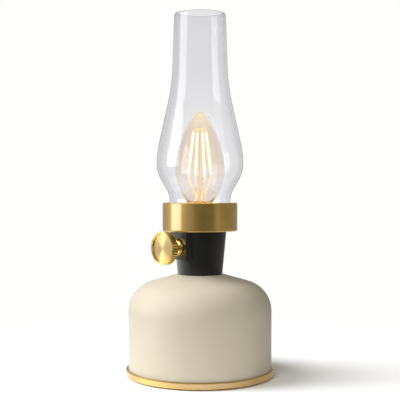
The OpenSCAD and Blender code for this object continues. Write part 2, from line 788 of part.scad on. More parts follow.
module battery_cradle() {
    color(plastic) difference() {
        union() {
            translate([-cradle_w / 2, -post_y, ballast_z]) cube([cradle_w, 2 * post_y, cradle_floor]);
            for (s = [-1, 1]) translate([s * (cradle_w - cradle_wall) / 2, 0, (ballast_z + cell_z) / 2])
                cube([cradle_wall, 2 * post_y, cell_z - ballast_z], center = true);
            at_strap_posts() column(ballast_z, strap_z, post_r);
        }
        column(ballast_z - past, ballast_z + cradle_floor + past, tube_r + slip);
        at_strap_posts() column(ballast_z - past, strap_z + past, screw_r + running);
    }
}

// A cell in front of (-1) or behind (1) the tie tube
module battery_cell(side) {
    color([0.30, 0.42, 0.52]) translate([-cell_l / 2, side * cell_y, cell_z]) rotate([0, 90, 0])
        difference() {
            column(0, cell_l, cell_r);
            difference() {
                column(cell_l - button_h, cell_l + past, cell_r - can_wall);
                column(0, cell_l + 2 * past, button_r);
            }
        }
}

module battery_cell_front() {
    battery_cell(-1);
}

module battery_cell_rear() {
    battery_cell(1);
}

module battery_tabs() {
    color([0.80, 0.80, 0.78]) for (s = [-1, 1])
        translate([s * tab_x - tab_t / 2, -cell_y - tab_w / 2, cell_z - tab_w / 2])
            cube([tab_t, 2 * cell_y + tab_w, cell_r + tab_w / 2]);
}

module battery_strap() {
    color(plastic) difference() {
        translate([0, 0, strap_z]) linear_extrude(strap_t) {
            square([strap_w, 2 * cell_y + cell_r], center = true);
            square([2 * post_r, 2 * post_y], center = true);
            at_strap_posts() circle(post_r);
        }
        column(strap_z - past, strap_z + strap_t + past, tube_r + slip);
        at_strap_posts() column(strap_z - past, strap_z + strap_t + past, screw_r + slip);
    }
}

module strap_screws() {
    color(steel) at_strap_posts() socket_screw(strap_z + strap_t);
}

module control_board() {
    color([0.10, 0.30, 0.18]) difference() {
        translate([0, 0, board_z]) linear_extrude(board_t) intersection() {
            translate([-board_w / 2, board_y]) square([board_w, board_r - board_y]);
            circle(board_r);
        }
        at_board_posts() column(board_z - past, board_top + past, screw_r + slip);
    }
}

module board_spacers() {
    color(brass) at_board_posts() turned_ring(screw_r + slip, post_r, ballast_z, board_z);
}

module board_screws() {
    color(steel) at_board_posts() socket_screw(board_top);
}

// A connector on the board for a number of wires
module connector(x, wires) {
    w = (wires - 1) * wire_pitch + 2 * (wire_r + connector_wall);
    translate([x - w / 2, connector_y - connector_d / 2, board_top]) cube([w, connector_d, connector_h]);
}

module board_parts() {
    color([0.90, 0.89, 0.85]) {
        connector(lamp_plug_x, 2);
        connector(dimmer_plug_x, 3);
        for (s = [-1, 1]) connector(s * battery_plug_x, 1);
    }
    color(plastic) {
        translate([-light_x, parts_y, 0]) column(board_top, board_top + coil_h, coil_r);
        translate([light_x - chip_w / 2, parts_y - chip_w / 2, board_top]) cube([chip_w, chip_w, chip_t]);
    }
    color(amber) translate([light_x - diode_w / 2, light_back - slip - diode_w, board_top])
        cube([diode_w, diode_w, port_h / 2 + light_r]);
}

module charge_port() {
    back = port_y - port_l;
    color(steel) {
        difference() {
            at_back(0, back) linear_extrude(port_l) port_outline(port_h / 2);
            at_back(0, back + port_wall) linear_extrude(port_l) port_outline(port_h / 2 - port_wall);
        }
        translate([-port_tongue_w / 2, back, port_z - port_tongue_t / 2])
            cube([port_tongue_w, port_l - port_wall, port_tongue_t]);
    }
}

module port_bezel() {
    color(black) difference() {
        intersection() {
            at_back(0, board_r + slip) linear_extrude(body_r) port_outline(bezel_r);
            column(port_z - 2 * bezel_r, port_z + 2 * bezel_r, body_r + bezel_proud);
        }
        at_back(0, board_r - past) linear_extrude(body_r) port_outline(port_h / 2 + slip);
    }
}

module charge_light() {
    color(clear) at_back(light_x, light_back) column(0, light_l, light_r);
}

// Neck and dimmer

// The outside of the neck between two levels, drawn in by a wall
module neck_cone(wall, z0, z1) {
    flare = (neck_top_r - neck_bottom_r) / neck_h;
    foot = neck_bottom_r - wall - flare * neck_z;
    cone(z0, z1, foot + flare * z0, foot + flare * z1);
}

// The block of the dimmer pad up to a level, drawn in by a wall
module pad_block(wall, top) {
    least_corner = 0.2;
    half = pad_w / 2 - wall;
    low = knob_z - pad_below + wall;
    face = pad_y - wall;
    foot_corner = max(pad_corner - wall, least_corner);
    upright_edge = max(pad_edge - wall, least_corner);
    intersection() {
        rotate([90, 0, 0]) linear_extrude(face) round_foot(half, low, top, foot_corner);
        translate([0, 0, low - past]) linear_extrude(top - low + 2 * past)
            round_foot(half, -face, 0, upright_edge);
    }
}

module neck() {
    color(black) difference() {
        union() {
            neck_cone(0, neck_z, collar_z);
            pad_block(0, collar_z);
        }
        neck_cone(neck_wall, neck_deck, collar_z + past);
        pad_block(neck_wall, collar_z + past);
        column(neck_z - past, neck_deck + past, tube_r + slip);
        translate([0, -passage_y, 0]) column(neck_z - past, neck_deck + past, passage_r);
        on_knob_axis() column(0, pad_y + past, bush_r + slip);
    }
}

module dimmer_case() {
    color([0.35, 0.36, 0.38]) {
        on_knob_axis() difference() {
            union() {
                translate([-dimmer_w / 2, -dimmer_h / 2, dimmer_back]) cube([dimmer_w, dimmer_h, dimmer_d]);
                column(dimmer_back + dimmer_wall, bush_end, bush_r);
            }
            column(dimmer_back + dimmer_wall, bush_end + past, shaft_r + running);
        }
        for (s = [-1:1]) translate([s * pin_pitch - pin_t / 2, -pin_y - pin_t / 2, pin_z])
            cube([pin_t, pin_t, pin_l + weld]);
    }
}

module dimmer_shaft() {
    flat_l = hub_l + shaft_grip;
    color(steel) on_knob_axis() difference() {
        column(dimmer_back + dimmer_wall + running, shaft_end - slip, shaft_r);
        translate([-shaft_r, shaft_r - shaft_flat, hub_back]) cube([2 * shaft_r, shaft_r, flat_l]);
    }
}

module knob_ferrule() {
    nose_r = bush_r + ferrule_nose;
    dome = [ferrule_r - nose_r, ferrule_h - ferrule_edge];
    color(brass) on_knob_axis() rotate_extrude() difference() {
        polygon(concat([[0, pad_y], [ferrule_r, pad_y]],
            [for (a = [0:10:90]) [nose_r + dome[0] * cos(a), pad_y + ferrule_edge + dome[1] * sin(a)]],
            [[0, pad_y + ferrule_h]]));
        translate([0, pad_y - past]) square([bush_r + running, ferrule_h + 2 * past]);
    }
}

// Outline of a groove in the knob's grip, half as wide at its floor as at its mouth
module grip_groove() {
    mouth_r = knob_r - grip_step;
    polygon([
        [mouth_r - groove_d, -groove_w / 4], [mouth_r + groove_d, -groove_w * 3 / 4],
        [mouth_r + groove_d, groove_w * 3 / 4], [mouth_r - groove_d, groove_w / 4]
    ]);
}

module knob() {
    grip_l = grip_end - grip_step - disc_back;
    hub_edge = (hub_r - shaft_r) / 4;
    bead_edge = 0.3 * knob_bead;
    color(brass) on_knob_axis() difference() {
        union() {
            turned_ring(0, hub_r, hub_back, disc_back + weld, hub_edge);
            turned_ring(0, knob_r - grip_step, disc_back, grip_end + weld, bead_edge);
            turned_ring(0, knob_r, grip_end, knob_front, bead_edge, bead_edge);
        }
        column(knob_front - knob_dish, knob_front + past, knob_r - knob_rim);
        column(hub_back - past, shaft_end, shaft_r + running);
        around(knob_grooves, 0) translate([0, 0, disc_back - past]) linear_extrude(grip_l + past) grip_groove();
        translate([0, 0, set_screw_at]) rotate([-90, 0, 0]) column(0, hub_r + past, set_screw_r + running);
    }
}

module knob_set_screw() {
    seat = shaft_r - shaft_flat + running;
    top = hub_r - slip;
    color(steel) on_knob_axis() translate([0, 0, set_screw_at]) rotate([-90, 0, 0]) difference() {
        column(seat, top, set_screw_r);
        translate([0, 0, (seat + top) / 2]) cylinder(h = top, r = set_screw_key_r, $fn = 6);
    }
}

// Collar and chimney

module collar() {
    color(brass) difference() {
        turned_ring(holder_r + slip, collar_r, collar_z, collar_z + collar_h, collar_edge, collar_lip);
        column(collar_deck, collar_z + collar_h + past, collar_inner_r);
    }
}

module shade_ring() {
    top = collar_deck + shade_ring_h;
    color(black) turned_ring(holder_r + running, holder_r + shade_ring_w, collar_deck, top, 0, soft_edge);
}

module chimney_gasket() {
    inner = fitter_r - glass_wall - gasket_seat;
    top = gasket_z + gasket_ring;
    color([0.55, 0.54, 0.52]) difference() {
        turned_ring(inner, collar_inner_r - slip, collar_deck, top, 0, soft_edge);
        column(gasket_z, top + past, fitter_r + chimney_gap);
    }
}

module chimney() {
    lip = glass_wall / 2;
    rim_c = [rim_r, rim_z] - lip * [cos(tube_slope), sin(tube_slope)];
    color(clear) rotate_extrude() polygon(concat(
        chimney_side(0),
        arc(rim_c, lip, tube_slope + 30, tube_slope + 150, 4),
        backwards(chimney_side(glass_wall)),
        arc([fitter_r - lip, chimney_z + lip], lip, 210, 330, 4)));
}

// Lampholder

module lampholder() {
    color(black) difference() {
        column(holder_z, holder_top, holder_r);
        column(holder_z - past, socket_z, tube_r + running);
        column(chamber_z, holder_top + past, chamber_r);
    }
}

module lampholder_screw_shell() {
    color(brass) turned_ring(screw_shell_r, screw_shell_r + screw_shell_wall, chamber_z, thread_top);
}

module lampholder_contact() {
    span = tongue_l - 2 * tongue_foot;
    color(brass) translate([-tongue_l / 2, -tongue_w / 2, chamber_z]) difference() {
        cube([tongue_l, tongue_w, tongue_h]);
        translate([tongue_foot, -past, -past]) cube([span, tongue_w + 2 * past, tongue_h - tongue_t + past]);
    }
}

// Bulb

module bulb_glass() {
    color(amber) rotate_extrude() polygon(concat(bulb_side(0), backwards(bulb_side(bulb_wall))));
}

module bulb_cap() {
    crest_arc = (cap_pitch * cap_pitch / 4 + cap_thread_d * cap_thread_d) / (2 * cap_thread_d);
    color(steel) rotate_extrude() difference() {
        union() {
            translate([0, thread_z]) square([thread_root_r, glass_z - thread_z]);
            for (i = [0:cap_turns - 1]) intersection() {
                translate([cap_thread_r - crest_arc, thread_z + (i + 0.5) * cap_pitch]) circle(crest_arc);
                translate([thread_root_r - cap_wall, thread_z + i * cap_pitch])
                    square([cap_wall + cap_thread_d + past, cap_pitch]);
            }
            translate([0, skirt_z]) square([skirt_r, cap_z - skirt_z]);
        }
        translate([0, glass_z]) square([bulb_neck_r + slip, cap_z - glass_z + past]);
        translate([0, thread_z - past]) square([thread_root_r - cap_wall, glass_z - thread_z + 2 * past]);
    }
}

module bulb_insulator() {
    color(black) cone(bulb_z + contact_h, thread_z, contact_r + cap_thread_d, thread_root_r);
}

module bulb_contact() {
    color(steel) cone(bulb_z, bulb_z + contact_h, contact_r - cap_thread_d, contact_r);
}

module bulb_stem() {
    flare_r = bulb_neck_r - bulb_wall - slip;
    flare_z = glass_z + bulb_wall;
    color(amber) {
        column(glass_z, flare_z, flare_r);
        cone(flare_z, flare_z + stem_flare, flare_r, stem_r);
        column(flare_z, stem_z, stem_r);
        translate([-pinch_w / 2, -pinch_t / 2, stem_z - weld]) cube([pinch_w, pinch_t, pinch_h + weld]);
        column(stem_z + pinch_h - weld, bead_z, rod_r);
        translate([0, 0, bead_z]) sphere(bead_r);
    }
}

module filaments() {
    color([1, 0.85, 0.45]) for (i = [0:filaments_n - 1])
        bar(beside_axis(filament_low_r, filament_low_r, filament_low_z, i),
            beside_axis(filament_high_r, filament_high_r, filament_high_z, i), filament_r);
}

module filament_wires() {
    grip = 1;
    color(steel) for (i = [0:filaments_n - 1]) {
        low = beside_axis(filament_low_r, filament_low_r, filament_low_z, i);
        high = beside_axis(filament_high_r, filament_high_r, filament_high_z, i);
        into = grip * unit(high - low);
        bar(beside_axis(pinch_w / 3, pinch_t / 4, stem_z + pinch_h - grip, i), low + into, support_r);
        bar(high - into, beside_axis(bead_r / 2, bead_r / 2, bead_z, i), support_r);
    }
}

// Wires

module lamp_wires() {
    color([0.75, 0.72, 0.68]) for (s = [-1, 1]) wire(lamp_route(s));
}

module dimmer_wires() {
    color([0.60, 0.20, 0.16]) for (s = [-1:1]) wire(dimmer_route(s));
}

module battery_wires() {
    color([0.16, 0.16, 0.18]) for (s = [-1, 1]) wire(battery_route(s));
}

foot_ring();
base_tray();
tray_screws();
ballast_plate();
tie_tube();
tie_washer();
tie_nut();
body_shell();
battery_cradle();
battery_cell_front();
battery_cell_rear();
battery_tabs();
battery_strap();
strap_screws();
control_board();
board_spacers();
board_screws();
board_parts();
charge_port();
port_bezel();
charge_light();
neck();
dimmer_case();
dimmer_shaft();
knob_ferrule();
knob();
knob_set_screw();
collar();
shade_ring();
chimney_gasket();
chimney();
lampholder();
lampholder_screw_shell();
lampholder_contact();
bulb_glass();
bulb_cap();
bulb_insulator();
bulb_contact();
bulb_stem();
filaments();
filament_wires();
lamp_wires();
dimmer_wires();
battery_wires();
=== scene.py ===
"""Dress a rechargeable table lamp in the shape of an oil lamp, and set it in a pale studio.

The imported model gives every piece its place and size. The pieces with a smooth blown or drawn
wall, such as the chimney and the bulb, are drawn again here as fine meshes, and every surface
gets its finish. All lengths are in metres.
"""

import json
import logging
import math
from abc import ABC, abstractmethod
from dataclasses import dataclass
from enum import Enum
from typing import Any, NamedTuple

import bmesh
import bpy
from mathutils import Matrix, Vector

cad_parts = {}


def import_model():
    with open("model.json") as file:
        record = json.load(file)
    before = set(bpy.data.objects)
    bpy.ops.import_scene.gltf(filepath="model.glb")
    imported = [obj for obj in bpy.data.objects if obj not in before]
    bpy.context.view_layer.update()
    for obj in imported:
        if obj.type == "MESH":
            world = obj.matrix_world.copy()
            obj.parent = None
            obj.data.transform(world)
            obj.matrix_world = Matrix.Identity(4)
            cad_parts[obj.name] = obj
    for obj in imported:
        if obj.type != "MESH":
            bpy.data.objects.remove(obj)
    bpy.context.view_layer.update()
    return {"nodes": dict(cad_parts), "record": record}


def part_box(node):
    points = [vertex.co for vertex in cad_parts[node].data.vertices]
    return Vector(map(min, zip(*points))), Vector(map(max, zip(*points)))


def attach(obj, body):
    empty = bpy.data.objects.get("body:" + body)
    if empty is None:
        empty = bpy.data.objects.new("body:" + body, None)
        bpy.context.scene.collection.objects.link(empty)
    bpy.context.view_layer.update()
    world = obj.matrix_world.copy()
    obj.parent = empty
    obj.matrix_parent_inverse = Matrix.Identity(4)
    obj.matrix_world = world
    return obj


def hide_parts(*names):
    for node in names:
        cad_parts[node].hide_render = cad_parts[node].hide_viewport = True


frame: dict[str, Any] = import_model()

MM = 0.001
QUARTER_TURN = 0.25
NOISE_REACH = (0.3, 0.7)
SINGLE_POINT_R = 1e-7
OFF_EVERY_WIRE = Vector((0.31, 0.95, 0.05))
LOG = logging.getLogger("lamp")

Colour = tuple[float, float, float]
Point = tuple[float, float]
Socket = bpy.types.NodeSocket


class Axis(Enum):
    """The axis that a piece was turned about, by its letter in the part's frame."""

    UPRIGHT = "Z"
    KNOB = "Y"


class Reach(Enum):
    """The surfaces that a studio light works on."""

    GLOSS = "glossy surfaces, as a reflection"
    MATT = "matt surfaces, as plain light"


class Linking(Enum):
    """Which pieces a light's link is about, by the renderer's word for it."""

    THESE_ALONE = "INCLUDE"
    ALL_OTHERS = "EXCLUDE"


class Ring(NamedTuple):
    """One cross-section of a lofted piece: an ellipse across its axis."""

    half_x: float
    half_y: float
    z: float


# Mixing materials


class Paint:
    """A material in the making: its node tree, and short calls that add nodes to it."""

    def __init__(self, name: str) -> None:
        """Start a material with one principled shader.

        Args:
            name: The material's name.
        """
        self.material = bpy.data.materials.new(name)
        self.material.use_nodes = True
        self.tree = self.material.node_tree
        self.shader = self.tree.nodes["Principled BSDF"]

    def feed(self, socket: Socket, value: Any) -> None:
        """Give an input a value, or join it to another node's output.

        Args:
            socket: The input to set.
            value: A plain value, or the output to join.
        """
        if isinstance(value, Socket):
            self.tree.links.new(value, socket)
        else:
            socket.default_value = value

    def add(self, kind: str, feeds: dict[Any, Any], **settings: Any) -> bpy.types.Node:
        """Add a node.

        Args:
            kind: The node's type, without its ShaderNode prefix.
            feeds: Values or outputs for its inputs, by name or number.
            settings: Values for the node's own properties.

        Returns:
            The new node.
        """
        node = self.tree.nodes.new("ShaderNode" + kind)
        for key, value in settings.items():
            setattr(node, key, value)
        for key, value in feeds.items():
            self.feed(node.inputs[key], value)
        return node

    def coat(self, **feeds: Any) -> None:
        """Set the shader's inputs, named with an underscore for each space."""
        for key, value in feeds.items():
            self.feed(self.shader.inputs[key.replace("_", " ")], value)

    def point(self) -> Socket:
        """Return the place of a point in its piece's own frame."""
        return self.add("TexCoord", {}).outputs["Object"]

    def combine(self, operation: str, a: Any, b: Any = 0.0) -> Socket:
        """Return what a calculation makes of two values."""
        return self.add("Math", {0: a, 1: b}, operation=operation).outputs[0]

    def vector(self, x: Any, y: Any, z: Any) -> Socket:
        """Return a vector made of three values."""
        return self.add("CombineXYZ", {0: x, 1: y, 2: z}).outputs[0]

    def noise(self, scale: float, detail: float = 2.0, place: Socket | None = None) -> Socket:
        """Return smooth noise from 0 to 1.

        Args:
            scale: How many cells there are in a metre.
            detail: How many finer layers are added.
            place: Where in the noise to look, or None for the point's own place.

        Returns:
            The noise's value.
        """
        spot = self.point() if place is None else place
        return self.add("TexNoise", {"Vector": spot, "Scale": scale, "Detail": detail}).outputs[0]

    def span(self, value: Socket, low: float = 0.0, high: float = 1.0) -> Socket:
        """Return noise spread from low to high over its usual reach."""
        feeds = {"Value": value, "From Min": NOISE_REACH[0], "From Max": NOISE_REACH[1]}
        return self.add("MapRange", feeds | {"To Min": low, "To Max": high}).outputs[0]

    def stray(self, value: Socket, middle: float, reach: Point) -> Socket:
        """Return a value that strays with noise from a middle one, by a reach down and up."""
        return self.span(value, middle + reach[0], middle + reach[1])

    def step(self, value: Socket, reach: Point) -> Socket:
        """Return a smooth step from 0 to 1 over a reach of a value."""
        feeds = {"Value": value, "From Min": reach[0], "From Max": reach[1]}
        return self.add("MapRange", feeds, interpolation_type="SMOOTHSTEP").outputs[0]

    def blend(self, share: Socket, first: Any, second: Any) -> Socket:
        """Mix two colours.

        Args:
            share: How much of the second colour there is, from 0 to 1.
            first: A plain colour, or the output to take it from.
            second: Another one.

        Returns:
            The mixed colour.
        """
        shades = [shade if isinstance(shade, Socket) else (*shade, 1.0) for shade in (first, second)]
        feeds = {0: share, 6: shades[0], 7: shades[1]}
        return self.add("Mix", feeds, data_type="RGBA").outputs[2]

    def bump(self, height: Socket, depth: float) -> Socket:
        """Return a normal that is tilted by a height whose full reach is a depth in metres."""
        return self.add("Bump", {"Height": height, "Distance": depth, "Strength": 1.0}).outputs[0]

    def round_axis(self, axis: Axis, centre: Vector) -> tuple[Socket, Socket, Socket]:
        """Describe a point of a turned piece.

        Args:
            axis: The axis that the piece was turned about.
            centre: A point on that axis.

        Returns:
            The point's distance from the axis, its place along the axis and its direction from it.
        """
        local = self.add("VectorMath", {0: self.point(), 1: centre}, operation="SUBTRACT").outputs[0]
        x, y, z = self.add("SeparateXYZ", {0: local}).outputs
        along, aside = (z, y) if axis is Axis.UPRIGHT else (y, z)
        flat = self.vector(x, aside, 0.0)
        radius = self.add("VectorMath", {0: flat}, operation="LENGTH").outputs["Value"]
        facing = self.add("VectorMath", {0: flat}, operation="NORMALIZE").outputs[0]
        return radius, along, facing


@dataclass(frozen=True)
class Finish(ABC):
    """A surface finish, which mixes its own material.

    Attributes:
        name: The material's name, which is also its slot's in the record.
    """

    name: str

    @abstractmethod
    def material(self) -> bpy.types.Material:
        """Return a new material with this finish."""


@dataclass(frozen=True)
class TurnedBrass(Finish):
    """Lacquered brass with the fine lines that turning or brushing leaves round an axis.

    Attributes:
        light: The colour of the brighter lines.
        dark: The colour of the duller lines.
        roughness: How soft the reflections are.
        axis: The axis that the lines run round.
        height: The height of that axis, where it lies level.
        lines: How many lines there are in a metre.
        anisotropy: How far the lines spread the reflections across them.
        lacquer: How strong the clear lacquer is.
        recess: How wide the grooves are whose depths are painted with shade, or 0 for none.
        recess_r: The radius beyond which those grooves lie.
        groove_shade: The colour of the painted shade deep in a groove.
        recess_fade: How far in from that radius the painted shade fades away.
        wander: How far a line wanders on its way round the axis.
        clouds: How many dull patches there are in a metre.
        lacquer_roughness: How soft the lacquer's own reflections are.
        lacquer_index: The lacquer's refractive index.
        relief: How deep the lines are.
        uneven: How far the roughness strays, down and up.
        cloud_share: How much the dull patches add to the lines.
        shade_reach: The share of the brighter colour at the weakest and at the strongest lines.
        recess_reach: How open a groove is where it is all painted shade, and where it has none.
    """

    light: Colour = (0.86, 0.57, 0.13)
    dark: Colour = (0.7, 0.44, 0.075)
    roughness: float = 0.54
    axis: Axis = Axis.UPRIGHT
    height: float = 0.0
    lines: float = 2600.0
    anisotropy: float = 0.7
    lacquer: float = 0.8
    recess: float = 0.0
    recess_r: float = 0.0
    groove_shade: Colour = (0.1, 0.055, 0.01)
    recess_fade: float = 0.3 * MM
    wander: float = 1.6
    clouds: float = 60.0
    lacquer_roughness: float = 0.13
    lacquer_index: float = 2.3
    relief: float = 0.004 * MM
    uneven: Point = (-0.04, 0.06)
    cloud_share: float = 0.4
    shade_reach: Point = (-0.2, 0.9)
    recess_reach: Point = (0.25, 0.75)

    def material(self) -> bpy.types.Material:
        """Mix brass whose colour, gloss and relief follow its lines, with painted shade in its grooves
        where a recess is given.

        Returns:
            The new material.
        """
        paint = Paint(self.name)
        radius, along_axis, facing = paint.round_axis(self.axis, Vector((0, 0, self.height)))
        path = paint.combine("ADD", radius, along_axis)
        drift = paint.add("VectorMath", {0: facing, "Scale": self.wander}, operation="SCALE").outputs[0]
        along = paint.vector(paint.combine("MULTIPLY", path, self.lines), 0.0, 0.0)
        place = paint.add("VectorMath", {0: along, 1: drift}, operation="ADD").outputs[0]
        lines = paint.noise(1.0, 4.0, place)
        clouds = paint.noise(self.clouds, 3.0)
        dulled = paint.combine("ADD", lines, paint.combine("MULTIPLY", clouds, self.cloud_share))
        brass = paint.blend(paint.span(dulled, *self.shade_reach), self.dark, self.light)
        # Painted shade: the brass is darkened deep in the grooves, by how little of the room reaches in,
        # and stands for the shade that falls there.
        if self.recess > 0.0:
            clear = paint.add("AmbientOcclusion", {"Distance": self.recess}).outputs["AO"]
            inside = paint.step(radius, (self.recess_r, self.recess_r - self.recess_fade))
            unshaded = paint.combine("MAXIMUM", paint.step(clear, self.recess_reach), inside)
            brass = paint.blend(unshaded, self.groove_shade, brass)
        tangent = paint.add("Tangent", {}, direction_type="RADIAL", axis=self.axis.value)
        paint.coat(
            Base_Color=brass,
            Metallic=1.0,
            Roughness=paint.stray(lines, self.roughness, self.uneven),
            Anisotropic=self.anisotropy,
            Anisotropic_Rotation=QUARTER_TURN,
            Tangent=tangent.outputs[0],
            Coat_Weight=self.lacquer,
            Coat_Roughness=self.lacquer_roughness,
            Coat_IOR=self.lacquer_index,
            Normal=paint.bump(lines, self.relief),
        )
        return paint.material


@dataclass(frozen=True)
class PowderCoat(Finish):
    """Baked powder paint, with a soft sheen and a fine pebbled skin.

    Attributes:
        colour: The paint's colour.
        warm: The colour that it drifts to.
        roughness: How soft the sheen is.
        specular: How strong the sheen is.
        pebble: How deep the pebbled skin is.
        drifts: How many drifts of colour there are in a metre.
        pebbles: How many pebbles there are in a metre.
        uneven: How far the roughness strays, down and up.
    """

    colour: Colour
    warm: Colour
    roughness: float
    specular: float
    pebble: float = 0.012 * MM
    drifts: float = 22.0
    pebbles: float = 2200.0
    uneven: Point = (-0.03, 0.03)

    def material(self) -> bpy.types.Material:
        """Mix paint with a faint drift in its colour and a pebbled relief.

        Returns:
            The new material.
        """
        paint = Paint(self.name)
        drift = paint.noise(self.drifts, 3.0)
        pebbles = paint.noise(self.pebbles, 2.0)
        paint.coat(
            Base_Color=paint.blend(paint.span(drift), self.colour, self.warm),
            Roughness=paint.stray(drift, self.roughness, self.uneven),
            Specular_IOR_Level=self.specular,
            Normal=paint.bump(pebbles, self.pebble),
        )
        return paint.material


@dataclass(frozen=True)
class BlownGlass(Finish):
    """Clear or tinted glass, darker where its wall turns away: painted shade, and in tinted glass also
    its real deeper tint.

    Attributes:
        face: The colour of the wall seen straight on, low down.
        high: The same colour, high up.
        heights: Where the colour starts and ends its change from low to high.
        edge: The colour of the wall where it turns away, which paints the dark room seen through the wall
            as shade.
        glow: The colour of the light that the wall catches from inside.
        glow_strength: How strong that light is.
        depth: How far in from its outline the darker edge colour starts.
        sharpness: How suddenly it does.
        glow_heights: Where that light starts and where it is at its full strength, or None where it
            is the same all over.
        index: The glass's refractive index.
        wave: How deep the waves in the wall are.
        waves: How many waves there are in a metre.
    """

    face: Colour
    high: Colour
    heights: Point
    edge: Colour
    glow: Colour = (0.0, 0.0, 0.0)
    glow_strength: float = 0.0
    depth: float = 0.2
    sharpness: float = 1.0
    glow_heights: Point | None = None
    index: float = 1.46
    wave: float = 0.012 * MM
    waves: float = 45.0

    def material(self) -> bpy.types.Material:
        """Mix glass with a slight wave in its wall.

        Returns:
            The new material.
        """
        paint = Paint(self.name)
        # Painted shade: towards the outline the colour darkens and stands for the dark room seen through
        # a thick wall; in tinted glass it is also the real deeper tint.
        facing = paint.add("LayerWeight", {"Blend": self.depth}).outputs["Facing"]
        turning = paint.combine("POWER", facing, self.sharpness)
        height = paint.add("SeparateXYZ", {0: paint.point()}).outputs[2]
        rise = paint.step(height, self.heights)
        glow: float | Socket = self.glow_strength
        if self.glow_heights:
            glow = paint.combine("MULTIPLY", paint.step(height, self.glow_heights), self.glow_strength)
        waves = paint.noise(self.waves, 2.0)
        paint.coat(
            Base_Color=paint.blend(turning, paint.blend(rise, self.face, self.high), self.edge),
            Roughness=0.0,
            IOR=self.index,
            Transmission_Weight=1.0,
            Emission_Color=(*self.glow, 1.0),
            Emission_Strength=glow,
            Normal=paint.bump(waves, self.wave),
        )
        return paint.material


@dataclass(frozen=True)
class LitPhosphor(Finish):
    """The yellow coat of a filament that is lit, brighter over each of its small chips.

    Attributes:
        hot: The colour over a chip.
        cool: The colour between the chips.
        strength: How bright the filament is, where 1 is white.
        chips: How many chips there are in a metre.
    """

    hot: Colour
    cool: Colour
    strength: float
    chips: float = 700.0

    def material(self) -> bpy.types.Material:
        """Mix a glow that varies along the filament.

        Returns:
            The new material.
        """
        paint = Paint(self.name)
        chips = paint.noise(self.chips, 1.0)
        glow = paint.blend(paint.span(chips), self.cool, self.hot)
        paint.coat(Base_Color=glow, Roughness=0.6, Emission_Color=glow, Emission_Strength=self.strength)
        return paint.material


@dataclass(frozen=True)
class PlatedMetal(Finish):
    """Plated or drawn metal, with a faint cloud in its gloss.

    Attributes:
        colour: The metal's colour.
        roughness: How soft its reflections are.
        glow: How strong the light is that it catches from a filament.
        dullness: How bright its duller patches are, as a share of the rest.
        clouds: How many such patches there are in a metre.
        uneven: How far the roughness strays, down and up.
    """

    colour: Colour
    roughness: float
    glow: float = 0.0
    dullness: float = 0.82
    clouds: float = 320.0
    uneven: Point = (-0.06, 0.08)

    def material(self) -> bpy.types.Material:
        """Mix bare metal with an uneven gloss, and the light it catches from a filament.

        Returns:
            The new material.
        """
        paint = Paint(self.name)
        clouds = paint.noise(self.clouds, 3.0)
        dull = tuple(self.dullness * part for part in self.colour)
        paint.coat(
            Base_Color=paint.blend(paint.span(clouds), dull, self.colour),
            Metallic=1.0,
            Roughness=paint.stray(clouds, self.roughness, self.uneven),
            Emission_Color=(*self.colour, 1.0),
            Emission_Strength=self.glow,
        )
        return paint.material


@dataclass(frozen=True)
class Moulding(Finish):
    """Moulded plastic or rubber, with a fine grain from its mould.

    Attributes:
        colour: The plastic's colour.
        roughness: How soft its sheen is.
        grain: How deep the grain is.
        clouds: How many paler patches there are in a metre.
        grains: How many grains there are in a metre.
        uneven: How far the roughness strays, down and up.
        pale_gain: How many times as bright the paler patches are.
        pale_lift: How much is added to that.
    """

    colour: Colour
    roughness: float
    grain: float = 0.01 * MM
    clouds: float = 140.0
    grains: float = 3000.0
    uneven: Point = (-0.05, 0.05)
    pale_gain: float = 1.12
    pale_lift: float = 0.004

    def material(self) -> bpy.types.Material:
        """Mix plastic with a grained skin.

        Returns:
            The new material.
        """
        paint = Paint(self.name)
        clouds = paint.noise(self.clouds, 3.0)
        grains = paint.noise(self.grains, 2.0)
        pale = tuple(min(1.0, self.pale_gain * part + self.pale_lift) for part in self.colour)
        paint.coat(
            Base_Color=paint.blend(paint.span(clouds), self.colour, pale),
            Roughness=paint.stray(clouds, self.roughness, self.uneven),
            Normal=paint.bump(grains, self.grain),
        )
        return paint.material


@dataclass(frozen=True)
class SolderMask(Finish):
    """A printed board's green lacquer over its copper tracks.

    Attributes:
        lacquer: The lacquer's colour.
        track: Its colour over a track.
        bands: How many bands of tracks there are in a metre.
        clouds: How many patches in its gloss there are in a metre.
        relief: How far the tracks stand up.
        track_edge: How strong a band is where a track starts.
        gloss: The roughness of its glossiest and of its dullest patches.
    """

    lacquer: Colour = (0.02, 0.16, 0.06)
    track: Colour = (0.06, 0.3, 0.12)
    bands: float = 260.0
    clouds: float = 400.0
    relief: float = 0.02 * MM
    track_edge: float = 0.8
    gloss: Point = (0.25, 0.4)

    def material(self) -> bpy.types.Material:
        """Mix lacquer with paler tracks under it.

        Returns:
            The new material.
        """
        paint = Paint(self.name)
        feeds = {"Vector": paint.point(), "Scale": self.bands, "Distortion": 2.0, "Detail": 0.0}
        tracks = paint.add("TexWave", feeds, bands_direction="X").outputs[1]
        copper = paint.combine("GREATER_THAN", tracks, self.track_edge)
        paint.coat(
            Base_Color=paint.blend(copper, self.lacquer, self.track),
            Roughness=paint.span(paint.noise(self.clouds), *self.gloss),
            Normal=paint.bump(tracks, self.relief),
        )
        return paint.material


# Making meshes


def arc(centre: Point, radius: float, start: float, end: float, steps: int) -> list[Point]:
    """Draw an arc of an outline.

    Args:
        centre: The arc's centre.
        radius: Its radius.
        start: The angle where it starts, in degrees.
        end: The angle where it ends, in degrees.
        steps: The number of short lines that it is drawn with.

    Returns:
        The points along the arc, both ends included.
    """
    angles = [math.radians(start + (end - start) * i / steps) for i in range(steps + 1)]
    return [(centre[0] + radius * math.cos(a), centre[1] + radius * math.sin(a)) for a in angles]


def turned(outline: list[Point]) -> list[Ring]:
    """Return the round cross-sections of an outline given as radii and heights."""
    return [Ring(r, r, z) for r, z in outline]


